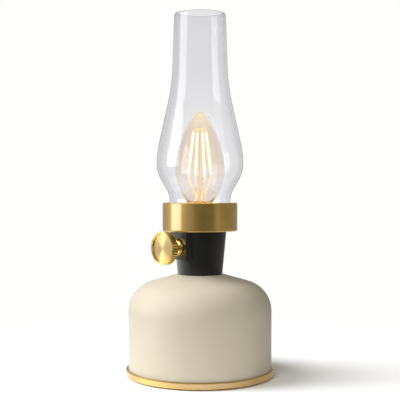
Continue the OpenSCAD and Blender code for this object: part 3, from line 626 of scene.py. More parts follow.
def loft(mesh: bmesh.types.BMesh, rings: list[Ring], place: Matrix, sides: int, closed: bool) -> None:
    """Add a skin over a row of cross-sections to a mesh.

    Args:
        mesh: The mesh to add to.
        rings: The cross-sections, in order. One with no width is a single point.
        place: Where the skin's own axis lies.
        sides: The number of points round each cross-section.
        closed: Whether the last cross-section is joined to the first.
    """
    angles = [2 * math.pi * k / sides for k in range(sides)]
    turns = [(math.cos(angle), math.sin(angle)) for angle in angles]
    rows = []
    for ring in rings:
        spots = turns if ring.half_x > SINGLE_POINT_R else [(0.0, 0.0)]
        corners = [place @ Vector((ring.half_x * c, ring.half_y * s, ring.z)) for c, s in spots]
        rows.append([mesh.verts.new(corner) for corner in corners])
    pairs = list(zip(rows, rows[1:] + rows[:1] if closed else rows[1:]))
    for low, high in pairs:
        for k in range(sides):
            a, b = low[k % len(low)], low[(k + 1) % sides % len(low)]
            c, d = high[(k + 1) % sides % len(high)], high[k % len(high)]
            corners = list(dict.fromkeys((a, b, c, d)))
            if len(corners) > 2:
                mesh.faces.new(corners)


def piece(name: str, mesh: bmesh.types.BMesh, crease: float = 35.0) -> bpy.types.Object:
    """Turn a mesh into an object of the scene.

    Args:
        name: The piece's name.
        mesh: Its mesh, which is used up.
        crease: The angle in degrees over which an edge stays sharp.

    Returns:
        The new object.
    """
    bmesh.ops.recalc_face_normals(mesh, faces=mesh.faces)
    data = bpy.data.meshes.new(name)
    mesh.to_mesh(data)
    mesh.free()
    data.polygons.foreach_set("use_smooth", [True] * len(data.polygons))
    data.set_sharp_from_angle(angle=math.radians(crease))
    made = bpy.data.objects.new(name, data)
    bpy.context.scene.collection.objects.link(made)
    return made


def between(start: Vector, end: Vector) -> Matrix:
    """Return the place of an axis that starts at one point and runs towards another."""
    return Matrix.Translation(start) @ (end - start).to_track_quat("Z", "Y").to_matrix().to_4x4()


def sweep(mesh: bmesh.types.BMesh, route: list[Vector], radius: float, sides: int = 10) -> None:
    """Add a round wire along a route to a mesh.

    Args:
        mesh: The mesh to add to.
        route: The points that the wire runs through.
        radius: The wire's radius.
        sides: The number of sides round it.
    """
    rows = []
    for i, spot in enumerate(route):
        ahead = (route[min(i + 1, len(route) - 1)] - route[max(i - 1, 0)]).normalized()
        side = OFF_EVERY_WIRE.cross(ahead).normalized()
        rise = ahead.cross(side)
        turns = [2 * math.pi * k / sides for k in range(sides)]
        round_it = [math.cos(turn) * side + math.sin(turn) * rise for turn in turns]
        rows.append([mesh.verts.new(spot + radius * outward) for outward in round_it])
    for low, high in zip(rows, rows[1:]):
        for k in range(sides):
            n = (k + 1) % sides
            mesh.faces.new((low[k], low[n], high[n], high[k]))
    mesh.faces.new(rows[0])
    mesh.faces.new(rows[-1])


def curve(first: Vector, second: Vector, third: Vector, fourth: Vector, steps: int = 14) -> list[Vector]:
    """Draw a smooth curve.

    Args:
        first: Where it starts.
        second: The point that it leaves towards.
        third: The point that it arrives from.
        fourth: Where it ends.
        steps: The number of short lines that it is drawn with.

    Returns:
        The points along the curve, both ends included.
    """
    shares = [i / steps for i in range(steps + 1)]
    return [
        (1 - t) ** 3 * first + 3 * t * (1 - t) ** 2 * second + 3 * t * t * (1 - t) * third + t**3 * fourth
        for t in shares
    ]


# The lamp


class Palette:
    """The finishes of the lamp, by the record's material slots."""

    def __init__(self) -> None:
        """Choose a finish for each slot."""
        low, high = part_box("knob")
        finishes: tuple[Finish, ...] = (
            TurnedBrass("satin_brass"),
            TurnedBrass(
                "bright_brass",
                light=(1.0, 0.75, 0.23),
                dark=(0.92, 0.63, 0.16),
                roughness=0.45,
                axis=Axis.KNOB,
                height=(low.z + high.z) / 2,
                anisotropy=0.9,
                lacquer=0.1,
                recess=2.0 * MM,
                recess_r=11.1 * MM,
            ),
            PlatedMetal("polished_brass", (0.97, 0.65, 0.22), 0.24),
            PowderCoat(
                "powder_coat", (0.505, 0.452, 0.356), (0.525, 0.467, 0.371), roughness=0.5, specular=0.5
            ),
            PowderCoat(
                "black_coat", (0.006, 0.006, 0.0055), (0.008, 0.008, 0.007), roughness=0.32, specular=0.8
            ),
            Moulding("foot_rubber", (0.02, 0.02, 0.02), 0.7),
            Moulding("gasket_silicone", (0.4, 0.38, 0.34), 0.5),
            PlatedMetal("zinc_steel", (0.6, 0.61, 0.62), 0.35),
            BlownGlass(
                "chimney_glass",
                face=(0.955, 0.955, 0.96),
                high=(0.885, 0.885, 0.885),
                heights=(0.17, 0.24),
                edge=(0.3, 0.3, 0.3),
                depth=0.3,
                sharpness=1.6,
            ),
            BlownGlass(
                "bulb_amber",
                face=(0.99, 0.955, 0.92),
                high=(0.965, 0.895, 0.8),
                heights=(0.14, 0.165),
                edge=(0.8, 0.66, 0.57),
                glow=(1.0, 0.84, 0.5),
                glow_strength=0.08,
                glow_heights=(0.178, 0.2),
            ),
            BlownGlass(
                "stem_glass",
                face=(0.98, 0.86, 0.7),
                high=(0.98, 0.88, 0.72),
                heights=(0.13, 0.16),
                edge=(0.93, 0.68, 0.46),
                glow=(1.0, 0.62, 0.28),
                glow_strength=0.02,
                index=1.15,
            ),
            LitPhosphor("filament_coat", (1.0, 0.94, 0.72), (1.0, 0.88, 0.58), 0.85),
            PlatedMetal("support_wire", (0.95, 0.79, 0.5), 0.25, 0.55),
            PlatedMetal("cap_nickel", (0.72, 0.71, 0.69), 0.22),
            Moulding("cap_insulator", (0.02, 0.02, 0.02), 0.12),
            Moulding("holder_plastic", (0.025, 0.025, 0.025), 0.5),
            Moulding("inner_plastic", (0.05, 0.05, 0.055), 0.5),
            Moulding("cell_sleeve", (0.05, 0.12, 0.2), 0.3),
            PlatedMetal("nickel_tab", (0.7, 0.69, 0.66), 0.3),
            SolderMask("board_green"),
            Moulding("connector_white", (0.7, 0.68, 0.62), 0.45),
            PlatedMetal("port_steel", (0.62, 0.62, 0.63), 0.25),
            BlownGlass(
                "light_pipe",
                face=(0.96, 0.96, 0.95),
                high=(0.94, 0.94, 0.94),
                heights=(0.0, 0.1),
                edge=(0.85, 0.85, 0.84),
            ),
            PlatedMetal("dimmer_metal", (0.45, 0.46, 0.47), 0.4),
            Moulding("wire_clear", (0.5, 0.46, 0.4), 0.3),
            Moulding("wire_red", (0.3, 0.02, 0.015), 0.3),
            Moulding("wire_black", (0.015, 0.015, 0.018), 0.3),
        )
        self.materials = {finish.name: finish.material() for finish in finishes}

    def dress(self, made: bpy.types.Object, slot: str) -> None:
        """Give a piece the finish of a slot, and no other."""
        made.data.materials.clear()
        made.data.materials.append(self.materials[slot])


@dataclass
class Part(ABC):
    """A sub-assembly of the lamp.

    Attributes:
        palette: The finishes to dress it with.
    """

    palette: Palette

    @abstractmethod
    def build(self) -> None:
        """Make and dress the sub-assembly's pieces."""

    def keep(self, *nodes: str) -> None:
        """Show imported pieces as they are, in the finish of their own slot.

        Args:
            nodes: The pieces' names.
        """
        slots = {row["node"]: row["material_slot"] for row in frame["record"]["subparts"]}
        for node in nodes:
            self.palette.dress(frame["nodes"][node], slots[node])
            LOG.info("kept %s in %s", node, slots[node])

    def show(self, made: bpy.types.Object, body: str, slot: str, *nodes: str) -> None:
        """Dress a new piece and join it to the model.

        Args:
            made: The new piece.
            body: The body that it moves with.
            slot: The material slot that it takes its finish from.
            nodes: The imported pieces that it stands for.
        """
        self.palette.dress(made, slot)
        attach(made, body)
        if nodes:
            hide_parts(*nodes)
        LOG.info("made %s in %s", made.name, slot)


@dataclass
class Base(Part):
    """The brass tray, its foot ring and screws, and what the body holds."""

    def build(self) -> None:
        """Dress the base and the pieces inside the body."""
        self.keep("foot_ring", "base_tray", "tray_screws", "ballast_plate", "tie_tube")
        self.keep("tie_washer", "tie_nut", "body_shell", "battery_cradle", "battery_cell_front")
        self.keep("battery_cell_rear", "battery_tabs", "battery_strap", "strap_screws", "control_board")
        self.keep("board_spacers", "board_screws", "board_parts", "charge_port", "port_bezel")
        self.keep("charge_light", "lamp_wires", "dimmer_wires", "battery_wires")


@dataclass
class Neck(Part):
    """The black neck with its dimmer, knob and brass collar.

    Attributes:
        ferrule_edge: Thickness of the ferrule's edge.
        nose_r: Radius of the ferrule's flat nose.
        bore_r: Radius of the bore through the ferrule.
    """

    ferrule_edge: float = 0.7 * MM
    nose_r: float = 4.6 * MM
    bore_r: float = 3.9 * MM

    def build(self) -> None:
        """Dress the neck and what it carries."""
        self.keep("neck", "dimmer_case", "dimmer_shaft", "knob", "knob_set_screw")
        self.keep("collar", "shade_ring", "chimney_gasket")
        self.keep("lampholder", "lampholder_screw_shell", "lampholder_contact")
        self.build_ferrule()

    def build_ferrule(self) -> None:
        """Turn the smooth domed nut that holds the dimmer in the pad."""
        low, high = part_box("knob_ferrule")
        radius = (high.x - low.x) / 2
        length = high.y - low.y
        across, along = radius - self.nose_r, length - self.ferrule_edge
        dome = arc((0.0, 0.0), 1.0, 0, 90, steps=24)
        outline = [
            (self.bore_r, 0.0),
            (radius, 0.0),
            *((self.nose_r + across * r, self.ferrule_edge + along * z) for r, z in dome),
            (self.bore_r, length),
        ]
        start = Vector((0.0, high.y, (low.z + high.z) / 2))
        place = between(start, start - Vector((0, length, 0)))
        mesh = bmesh.new()
        loft(mesh, turned(outline), place, sides=96, closed=True)
        self.show(piece("ferrule_dome", mesh), "lamp", "polished_brass", "knob_ferrule")


@dataclass
class Chimney(Part):
    """The clear blown chimney, open at both ends, that stands in the collar.

    Attributes:
        fitter_r: Outer radius in the collar.
        rim_r: Outer radius at the rim.
        wall: Thickness of the glass.
        belly_rise: Height of the belly above the foot.
        under_slope: Slope under the belly, in degrees.
        over_slope: Slope above the belly, in degrees.
        tube_slope: Slope under the rim, in degrees.
        waist_arc: Radius of the waist between the collar and the belly.
        low_arc: Radius of the belly's lower half.
        high_arc: Radius of the belly's upper half.
        flare_arc: Radius of the bend between the belly and the tube.
        sides: Number of points round the glass.
    """

    fitter_r: float = 22.55 * MM
    rim_r: float = 19.2 * MM
    wall: float = 1.7 * MM
    belly_rise: float = 44.9 * MM
    under_slope: float = 30.0
    over_slope: float = 12.4
    tube_slope: float = 1.9
    waist_arc: float = 17.5 * MM
    low_arc: float = 24.0 * MM
    high_arc: float = 68.0 * MM
    flare_arc: float = 160.0 * MM
    sides: int = 160

    def side(self, depth: float) -> list[Point]:
        """Draw the wall from the collar to the rim.

        Args:
            depth: How far inside the outer face to draw it.

        Returns:
            The wall's points, from the foot up.
        """
        low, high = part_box("chimney")
        lip = self.wall / 2
        belly = (high.x, low.z + self.belly_rise)
        rim = Vector((self.rim_r, high.z - lip))
        slopes = (self.under_slope, self.over_slope, self.tube_slope)
        under, over, tube = (math.radians(slope) for slope in slopes)
        bends = self.waist_arc + self.low_arc
        straight = (belly[0] - self.fitter_r - bends * (1 - math.cos(under))) / math.sin(under)
        waist_z = belly[1] - bends * math.sin(under) - straight * math.cos(under)
        run = belly[0] - rim.x - self.high_arc * (1 - math.cos(over))
        run -= self.flare_arc * (math.cos(tube) - math.cos(over))
        rise = rim.y - belly[1] - self.high_arc * math.sin(over)
        rise -= self.flare_arc * (math.sin(over) - math.sin(tube))
        tube_l = (rise * math.sin(over) - run * math.cos(over)) / math.sin(over - tube)
        out = Vector((math.cos(tube), math.sin(tube)))
        flare = tuple(rim - tube_l * Vector((-out.y, out.x)) + self.flare_arc * out)
        waist = (self.fitter_r + self.waist_arc, waist_z)
        low_c, high_c = ((belly[0] - bend, belly[1]) for bend in (self.low_arc, self.high_arc))
        return [
            (self.fitter_r - depth, low.z + lip),
            *arc(waist, self.waist_arc + depth, 180, 180 - self.under_slope, steps=14),
            *arc(low_c, self.low_arc - depth, -self.under_slope, 0, steps=14),
            *arc(high_c, self.high_arc - depth, 0, self.over_slope, steps=10)[1:],
            *arc(flare, self.flare_arc + depth, 180 + self.over_slope, 180 + self.tube_slope, steps=14),
            tuple(rim - depth * out),
        ]

    def build(self) -> None:
        """Blow the glass with its rounded rim and foot."""
        low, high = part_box("chimney")
        lip = self.wall / 2
        tilt = math.radians(self.tube_slope)
        rim = (self.rim_r - lip * math.cos(tilt), high.z - lip - lip * math.sin(tilt))
        outline = [
            *self.side(0.0),
            *arc(rim, lip, self.tube_slope, self.tube_slope + 180, steps=10)[1:-1],
            *reversed(self.side(self.wall)),
            *arc((self.fitter_r - lip, low.z + lip), lip, 180, 360, steps=10)[1:-1],
        ]
        mesh = bmesh.new()
        loft(mesh, turned(outline), Matrix.Identity(4), self.sides, closed=True)
        glass = piece("chimney_glass", mesh)
        glass.visible_shadow = False
        self.show(glass, "chimney", "chimney_glass", "chimney")


@dataclass
class Bulb(Part):
    """The screw-in candle bulb with its stem, filaments and wires.

    Attributes:
        neck_r: Outer radius of the glass in the cap.
        wall: Thickness of the glass.
        throat: Height of the straight neck above the cap.
        under_slope: Slope under the widest place, in degrees.
        low_arc: Radius under the widest place.
        high_arc: Radius over the widest place.
        side_arc: Radius of the long upper side.
        side_slope: Slope where the long side starts, in degrees.
        tip_slope: Slope where the tip starts, in degrees.
        filament_n: Number of filaments.
        filament_turn: Turn of the filaments about the axis, in degrees.
        filament_low_r: Distance from the axis to a filament's lower end.
        filament_high_r: Distance from the axis to a filament's upper end.
        filament_low: Height of the filaments' lower ends above the cap.
        filament_l: Rise of a filament from end to end.
        filament_r: Radius of a filament.
        stem_r: Radius of the glass stem.
        stem_h: Height of the stem above the cap.
        pinch_w: Width of the flat pinch on the stem.
        pinch_t: Thickness of the pinch.
        pinch_h: Height of the pinch.
        pinch_root: Thickness of the stem under the pinch, as a share of the pinch's.
        rod_r: Radius of the glass rod above the pinch.
        rod_root: Half the width and thickness of the rod's root, as shares of that radius.
        bead_r: Radius of the glass bead on the rod.
        bead_start: Angle on the bead where it leaves the rod, in degrees.
        wire_r: Radius of the wires that carry the filaments.
        wire_root: Height above the cap where the wires leave the stem.
        wire_rise: The length that the wires' bends are measured in.
        hook: How far a wire bows out where it meets the bead.
        tip_l: Length of the metal tip at a filament's end.
        tip_share: Radius of that tip, as a share of the filament's.
        sides: Number of points round the glass.
    """

    neck_r: float = 6.9 * MM
    wall: float = 0.7 * MM
    throat: float = 0.2 * MM
    under_slope: float = 41.5
    low_arc: float = 39.5 * MM
    high_arc: float = 25.0 * MM
    side_arc: float = 90.0 * MM
    side_slope: float = 8.0
    tip_slope: float = 32.9
    filament_n: int = 4
    filament_turn: float = 70.0
    filament_low_r: float = 9.1 * MM
    filament_high_r: float = 5.1 * MM
    filament_low: float = 25.0 * MM
    filament_l: float = 32.1 * MM
    filament_r: float = 0.9 * MM
    stem_r: float = 3.4 * MM
    stem_h: float = 18.0 * MM
    pinch_w: float = 8.0 * MM
    pinch_t: float = 2.2 * MM
    pinch_h: float = 5.5 * MM
    pinch_root: float = 1.5
    rod_r: float = 0.7 * MM
    rod_root: Point = (1.6, 1.2)
    bead_r: float = 1.6 * MM
    bead_start: float = -64.0
    wire_r: float = 0.45 * MM
    wire_root: float = 6.0 * MM
    wire_rise: float = 3.0 * MM
    hook: float = 1.5 * MM
    tip_l: float = 1.6 * MM
    tip_share: float = 0.6
    sides: int = 128

    def cap_z(self) -> float:
        """Return the height of the cap's upper edge."""
        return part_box("bulb_cap")[1].z

    def side(self, depth: float) -> list[Point]:
        """Draw the glass from the cap to the tip.

        Args:
            depth: How far inside the outer face to draw it.

        Returns:
            The wall's points, from the cap up.
        """
        low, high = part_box("bulb_glass")
        slopes = (self.under_slope, self.side_slope, self.tip_slope)
        under, side, tip = (math.radians(slope) for slope in slopes)
        neck_arc = (high.x - self.neck_r) / (1 - math.cos(under)) - self.low_arc
        neck_z = self.cap_z() + self.throat
        neck_c = (self.neck_r + neck_arc, neck_z)
        wide = (high.x, neck_z + (self.low_arc + neck_arc) * math.sin(under))
        low_c = (wide[0] - self.low_arc, wide[1])
        high_c = Vector((wide[0] - self.high_arc, wide[1]))
        side_c = high_c - (self.side_arc - self.high_arc) * Vector((math.cos(side), math.sin(side)))
        tip_arc = self.side_arc + side_c.x / math.cos(tip)
        tip_c = (0.0, side_c.y + (self.side_arc - tip_arc) * math.sin(tip))
        return [
            (self.neck_r - depth, low.z),
            *arc(neck_c, neck_arc + depth, 180, 180 - self.under_slope, steps=12),
            *arc(low_c, self.low_arc - depth, -self.under_slope, 0, steps=14)[1:],
            *arc(tuple(high_c), self.high_arc - depth, 0, self.side_slope, steps=10)[1:],
            *arc(tuple(side_c), self.side_arc - depth, self.side_slope, self.tip_slope, steps=10)[1:],
            *arc(tip_c, tip_arc - depth, self.tip_slope, 90, steps=14)[1:-1],
            (0.0, tip_c[1] + tip_arc - depth),
        ]

    def filament_ends(self, i: int) -> tuple[Vector, Vector]:
        """Find where a filament lies.

        Args:
            i: The filament's number.

        Returns:
            Its lower and its upper end.
        """
        turn = math.radians(self.filament_turn + 360 * i / self.filament_n)
        low_z = self.cap_z() + self.filament_low
        aside = Vector((math.cos(turn), math.sin(turn), 0.0))
        return (
            self.filament_low_r * aside + Vector((0, 0, low_z)),
            self.filament_high_r * aside + Vector((0, 0, low_z + self.filament_l)),
        )

    def build_glass(self) -> None:
        """Blow the bulb's thin wall."""
        mesh = bmesh.new()
        outline = [*self.side(0.0), *reversed(self.side(self.wall))]
        loft(mesh, turned(outline), Matrix.Identity(4), self.sides, closed=True)
        glass = piece("bulb_envelope", mesh)
        glass.visible_shadow = False
        self.show(glass, "bulb", "bulb_amber", "bulb_glass")

    def build_stem(self) -> None:
        """Draw the stem, which flares into the cap and is pinched flat round its wires."""
        foot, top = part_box("bulb_stem")
        stem_z = self.cap_z() + self.stem_h
        pinch_z = stem_z + self.pinch_h
        flare_arc = top.x - self.stem_r
        flare = arc((top.x, foot.z + 2 * self.wall + flare_arc), flare_arc, 270, 180, steps=8)
        rings = [
            Ring(0.0, 0.0, foot.z),
            *turned([(top.x, foot.z), (top.x, foot.z + self.wall), *flare]),
            Ring(self.stem_r, self.stem_r, stem_z - self.pinch_h / 2),
            Ring(self.stem_r, self.pinch_t / 2 * self.pinch_root, stem_z),
            Ring(self.pinch_w / 2, self.pinch_t / 2, stem_z + self.pinch_h / 4),
            Ring(self.pinch_w / 2, self.pinch_t / 2, pinch_z - self.wall),
            Ring(self.pinch_w / 2 - self.wall, self.pinch_t / 2 - self.wall / 2, pinch_z),
            Ring(self.rod_r * self.rod_root[0], self.rod_r * self.rod_root[1], pinch_z + self.wall / 4),
            Ring(self.rod_r, self.rod_r, pinch_z + 2 * self.wall),
        ]
        bead = top.z - self.bead_r
        rings += turned(arc((0.0, bead), self.bead_r, self.bead_start, 90, steps=12)[:-1])
        rings.append(Ring(0.0, 0.0, top.z))
        mesh = bmesh.new()
        loft(mesh, rings, Matrix.Identity(4), sides=48, closed=False)
        self.show(piece("glass_stem", mesh, crease=50.0), "bulb", "stem_glass", "bulb_stem")

    def build_filaments(self) -> None:
        """Draw the lit rods, the metal tip at each end, and the wires that carry them."""
        rods, tips, wires = bmesh.new(), bmesh.new(), bmesh.new()
        r, tip, tip_r = self.filament_r, self.tip_l, self.tip_share * self.filament_r
        rise = Vector((0, 0, self.wire_rise))
        root = Vector((0, 0, self.cap_z() + self.wire_root))
        bead = Vector((0, 0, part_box("bulb_stem")[1].z - self.bead_r))
        for i in range(self.filament_n):
            low, high = self.filament_ends(i)
            length = (high - low).length
            place = between(low, high)
            lit = [(0.0, tip / 2), (r, tip / 2), (r, length - tip / 2), (0.0, length - tip / 2)]
            loft(rods, turned(lit), place, sides=20, closed=False)
            for start, end in ((0.0, tip), (length - tip, length)):
                clip = [(0.0, start), (tip_r, start), (tip_r, end), (0.0, end)]
                loft(tips, turned(clip), place, sides=12, closed=False)
            aside = Vector((low.x, low.y, 0)).normalized()
            foot = root + self.stem_r * aside
            lead = curve(foot, foot + 3 * rise, low - 2 * rise, low + 0.3 * rise)
            crown = bead + self.bead_r / 2 * aside
            tie = curve(high - 0.3 * rise, high + 0.8 * rise, crown + self.hook * aside, crown)
            sweep(wires, lead, self.wire_r)
            sweep(wires, tie, self.wire_r)
        self.show(piece("filament_rods", rods), "bulb", "filament_coat", "filaments")
        self.show(piece("filament_tips", tips), "bulb", "support_wire")
        carriers = piece("filament_carriers", wires, crease=60.0)
        self.show(carriers, "bulb", "support_wire", "filament_wires")

    def build(self) -> None:
        """Make the bulb from the cap up."""
        self.keep("bulb_cap", "bulb_insulator", "bulb_contact")
        self.build_stem()
        self.build_filaments()
        self.build_glass()


# The studio


class Stand(NamedTuple):
    """Where a light or the camera is: its bearing in degrees, its level distance and its height."""

    bearing: float
    distance: float
    height: float


def set_up(made: bpy.types.Object, stand: Stand, aim: float) -> None:
    """Set up a light or the camera so that it looks at the lamp's axis.

    Args:
        made: The light or the camera.
        stand: Where it goes, with its bearing round from the knob's side.
        aim: The height on the axis that it looks at.
    """
    turn = math.radians(stand.bearing)
    level = (stand.distance * math.sin(turn), -stand.distance * math.cos(turn))
    made.location = (*level, stand.height)
    look = Vector((0, 0, aim)) - made.location
    made.rotation_euler = look.to_track_quat("-Z", "Y").to_euler()
    bpy.context.scene.collection.objects.link(made)


@dataclass(frozen=True)
class Softbox:
    """A soft rectangular light that looks at the lamp's axis.

    Attributes:
        name: The light's name.
        stand: Where its middle is, with its bearing to the right of the camera's.
        aim: The height on the lamp's axis that it looks at.
        face: Its width, and its length from its lower to its upper edge.
        radiance: How bright its face is, where 1 is white.
        colour: The tint of its light.
        reach: The surfaces that it lights.
        only: The pieces that it lights, or none for all of them.
        spares: The pieces that it is flagged off from.
        passes: The pieces that cast no shadow in it.
    """

    name: str
    stand: Stand
    aim: float
    face: Point
    radiance: float
    colour: Colour = (1.0, 1.0, 1.0)
    reach: Reach = Reach.GLOSS
    only: tuple[str, ...] = ()
    spares: tuple[str, ...] = ()
    passes: tuple[str, ...] = ()

    def link(self, kind: str, names: tuple[str, ...], about: Linking) -> bpy.types.Collection:
        """Gather the pieces that the light treats in a way of its own.

        Args:
            kind: What the light does with them.
            names: The pieces' names.
            about: Whether that is about these pieces alone or about all others.

        Returns:
            A collection of the pieces.
        """
        gathered = bpy.data.collections.new(f"{self.name}_{kind}")
        for name in names:
            gathered.objects.link(bpy.data.objects[name])
        for member in gathered.collection_objects:
            member.light_linking.link_state = about.value
        return gathered

    def place(self, camera_azimuth: float) -> None:
        """Hang the light.

        Args:
            camera_azimuth: The camera's direction from the lamp, in degrees.
        """
        light = bpy.data.lights.new(self.name, "AREA")
        light.shape = "RECTANGLE"
        light.size, light.size_y = self.face
        light.color = self.colour
        light.energy = self.radiance * math.pi * self.face[0] * self.face[1]
        hung = bpy.data.objects.new(self.name, light)
        set_up(hung, self.stand._replace(bearing=camera_azimuth + self.stand.bearing), self.aim)
        hung.visible_glossy = self.reach is Reach.GLOSS
        hung.visible_transmission = self.reach is Reach.GLOSS
        hung.visible_diffuse = self.reach is Reach.MATT
        links = hung.light_linking
        if self.only:
            links.receiver_collection = self.link("lights", self.only, Linking.THESE_ALONE)
        if self.spares:
            links.receiver_collection = self.link("spares", self.spares, Linking.ALL_OTHERS)
        if self.passes:
            links.blocker_collection = self.link("passes", self.passes, Linking.ALL_OTHERS)


@dataclass
class Studio:
    """A pale floor, soft lights and the camera.

    Attributes:
        azimuth: The camera's direction, in degrees round from the knob's side.
        distance: The camera's level distance from the lamp's axis.
        eye: The camera's height.
        aim: The height on the lamp's axis at the middle of the picture.
        lens: The camera's focal length in millimetres on its sensor's width of 36.
        floor_r: Radius of the floor.
        floor_back: How far behind the lamp the middle of the floor that gloss shows lies.
        floor_gap: How far under it the other floor lies.
        floor_fade: Radius where the floor starts to fade into the white behind it.
        floor_end: Radius where it has faded.
        backdrop: The white that the camera sees behind the lamp.
        through: The white that is seen through the glass.
        room: The darkest side of the room, as reflections show it.
        behind: The opposite side, which is the brightest.
        dark_bearing: The direction of the darkest side, in degrees to the right of the camera.
        ambient: The room's dim light on matt surfaces.
        floor_glow: How bright the floor is where no light falls on it.
        paper: The colour of the floor's paper.
        fibre: The colour of the fibres in it.
        fibres: How many fibres there are in a metre.
        floor_tint: The tint of the floor's own light.
        bounces: How often light is followed from one surface to the next.
        lights: The lights.
    """

    azimuth: float = 48.0
    distance: float = 0.624
    eye: float = 0.1355
    aim: float = 0.1296
    lens: float = 75.6
    floor_r: float = 0.6
    floor_back: float = 0.5
    floor_gap: float = 0.2 * MM
    floor_fade: float = 0.19
    floor_end: float = 0.3
    backdrop: Colour = (1.0, 1.0, 0.985)
    through: Colour = (0.93, 0.93, 0.95)
    room: Colour = (0.1, 0.095, 0.075)
    behind: Colour = (0.4, 0.4, 0.385)
    dark_bearing: float = 30.0
    ambient: Colour = (0.15, 0.135, 0.1)
    floor_glow: float = 0.02
    paper: Colour = (0.93, 0.93, 0.92)
    fibre: Colour = (0.95, 0.95, 0.94)
    fibres: float = 300.0
    floor_tint: Colour = (1.0, 1.0, 0.99)
    bounces: int = 24
    lights: tuple[Softbox, ...] = (
        Softbox("key_softbox", Stand(-78.0, 1.2, 0.38), 0.38, (0.83, 0.84), 2.7, spares=("knob",)),
        Softbox("strip_softbox", Stand(-97.0, 1.2, 0.7), 0.7, (0.2, 1.4), 5.2, (0.96, 0.97, 1.35),
                only=("knob", "ferrule_dome")),
        Softbox("top_softbox", Stand(-60.0, 0.5, 1.2), 0.1, (2.4, 2.4), 7.0, only=("ferrule_dome",)),
        Softbox("side_card", Stand(88.0, 1.0, 0.2), 0.2, (0.5, 0.6), 0.3, (1.0, 0.9, 0.7),
                only=("knob",)),
        Softbox("rim_card", Stand(10.0, 1.0, 0.25), 0.2, (0.8, 0.5), 1.0, (1.0, 0.78, 0.3),
                only=("knob",)),
        Softbox("collar_card", Stand(54.0, 1.2, 0.15), 0.15, (0.36, 0.4), 0.4, (1.0, 0.85, 0.5),
                only=("collar",)),
        Softbox("collar_fill", Stand(-35.0, 1.2, 0.15), 0.15, (0.7, 0.4), 0.28, (1.0, 0.9, 0.65),
                only=("collar",)),
        Softbox("bulb_glow", Stand(0.0, 0.001, 0.17), 0.12, (0.03, 0.03), 75.0, (1.0, 0.9, 0.65),
                only=("collar",)),
        Softbox("floor_card", Stand(-50.0, 0.5, -0.25), 0.1, (0.8, 0.5), 5.0, only=("ferrule_dome",)),
        Softbox("low_softbox", Stand(-130.0, 1.2, -0.25), -0.25, (1.4, 0.5), 1.2, only=("neck",)),
        Softbox("fill_softbox", Stand(63.0, 1.3, 0.65), 0.65, (0.6, 0.52), 0.6, spares=("base_tray",)),
        Softbox("high_softbox", Stand(-90.0, 0.89, 1.0), 0.05, (0.75, 1.2), 9.9, (0.95, 0.96, 1.0),
                Reach.MATT, passes=("knob",)),
        Softbox("front_softbox", Stand(-15.0, 1.5, 1.1), 0.05, (1.2, 1.1), 4.3, reach=Reach.MATT),
        Softbox("right_softbox", Stand(60.0, 1.4, 0.5), 0.1, (1.0, 1.0), 0.5, reach=Reach.MATT),
    )

    def build(self) -> None:
        """Set up the camera, the room, the floor and the lights."""
        scene = bpy.context.scene
        scene.view_settings.view_transform = "Standard"
        scene.cycles.max_bounces = self.bounces
        scene.cycles.transmission_bounces = self.bounces
        scene.cycles.transparent_max_bounces = self.bounces
        self.build_camera()
        self.build_room()
        self.build_floor()
        for light in self.lights:
            light.place(self.azimuth)

    def build_camera(self) -> None:
        """Put the camera where the picture was taken from."""
        data = bpy.data.cameras.new("camera")
        data.lens = self.lens
        camera = bpy.data.objects.new("camera", data)
        set_up(camera, Stand(self.azimuth, self.distance, self.eye), self.aim)
        bpy.context.scene.camera = camera

    @staticmethod
    def shade(tree: bpy.types.NodeTree, colour: Colour) -> Socket:
        """Add a plain background.

        Args:
            tree: The nodes of the room.
            colour: The background's colour.

        Returns:
            The background's output.
        """
        node = tree.nodes.new("ShaderNodeBackground")
        node.inputs["Color"].default_value = (*colour, 1.0)
        return node.outputs[0]

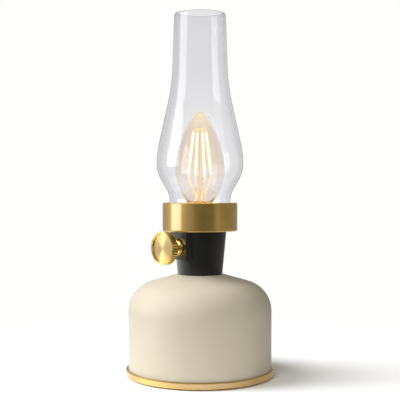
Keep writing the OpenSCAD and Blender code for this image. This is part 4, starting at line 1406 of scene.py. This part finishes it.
    def build_room(self) -> None:
        """Make a room that is dark on one side, with a white backdrop."""
        world = bpy.data.worlds.new("room")
        world.use_nodes = True
        bpy.context.scene.world = world
        tree = world.node_tree
        tree.nodes.clear()
        path = tree.nodes.new("ShaderNodeLightPath")
        turn = math.radians(self.azimuth + self.dark_bearing)
        facing = tree.nodes.new("ShaderNodeVectorMath")
        facing.operation = "DOT_PRODUCT"
        facing.inputs[1].default_value = (-math.sin(turn), math.cos(turn), 0.0)
        tree.links.new(tree.nodes.new("ShaderNodeTexCoord").outputs["Generated"], facing.inputs[0])
        rear = tree.nodes.new("ShaderNodeMapRange")
        rear.inputs["From Min"].default_value = -1.0
        tree.links.new(facing.outputs["Value"], rear.inputs["Value"])
        choices = (
            (rear.outputs[0], self.behind),
            (path.outputs["Is Diffuse Ray"], self.ambient),
            (path.outputs["Is Transmission Ray"], self.through),
            (path.outputs["Is Camera Ray"], self.backdrop),
        )
        seen = self.shade(tree, self.room)
        for share, colour in choices:
            mix = tree.nodes.new("ShaderNodeMixShader")
            for socket, output in zip(mix.inputs, (share, seen, self.shade(tree, colour))):
                tree.links.new(output, socket)
            seen = mix.outputs[0]
        tree.links.new(seen, tree.nodes.new("ShaderNodeOutputWorld").inputs[0])

    def build_floor(self) -> None:
        """Lay a pale round floor that fades into the backdrop, over one that gloss does not show."""
        paint = Paint("floor_paper")
        distance = paint.add("VectorMath", {0: paint.point()}, operation="LENGTH").outputs["Value"]
        feeds = {"Value": distance, "From Min": self.floor_fade, "From Max": self.floor_end}
        feeds |= {"To Min": 1.0, "To Max": 0.0}
        fibres = paint.span(paint.noise(self.fibres, 2.0))
        paint.coat(
            Base_Color=paint.blend(fibres, self.paper, self.fibre),
            Roughness=0.8,
            Specular_IOR_Level=0.1,
            Emission_Color=(*self.floor_tint, 1.0),
            Emission_Strength=self.floor_glow,
            Alpha=paint.add("MapRange", feeds, interpolation_type="SMOOTHSTEP").outputs[0],
        )
        turn = math.radians(self.azimuth)
        back = self.floor_back * Vector((-math.sin(turn), math.cos(turn), 0.0))
        under = Vector((0.0, 0.0, -self.floor_gap))
        disc = turned([(0.0, 0.0), (self.floor_r, 0.0)])
        for name, centre, shown in (("floor", back, True), ("floor_under", under, False)):
            mesh = bmesh.new()
            loft(mesh, disc, Matrix.Translation(centre), sides=96, closed=False)
            floor = piece(name, mesh)
            floor.visible_camera = shown
            floor.visible_glossy = shown
            floor.data.materials.append(paint.material)


def main() -> None:
    """Make the lamp's sub-assemblies in order, and set up the studio round them."""
    logging.basicConfig(level=logging.INFO, format="%(name)s: %(message)s")
    palette = Palette()
    for part in (Base(palette), Neck(palette), Chimney(palette), Bulb(palette)):
        part.build()
    Studio().build()


if __name__ == "__main__":
    main()
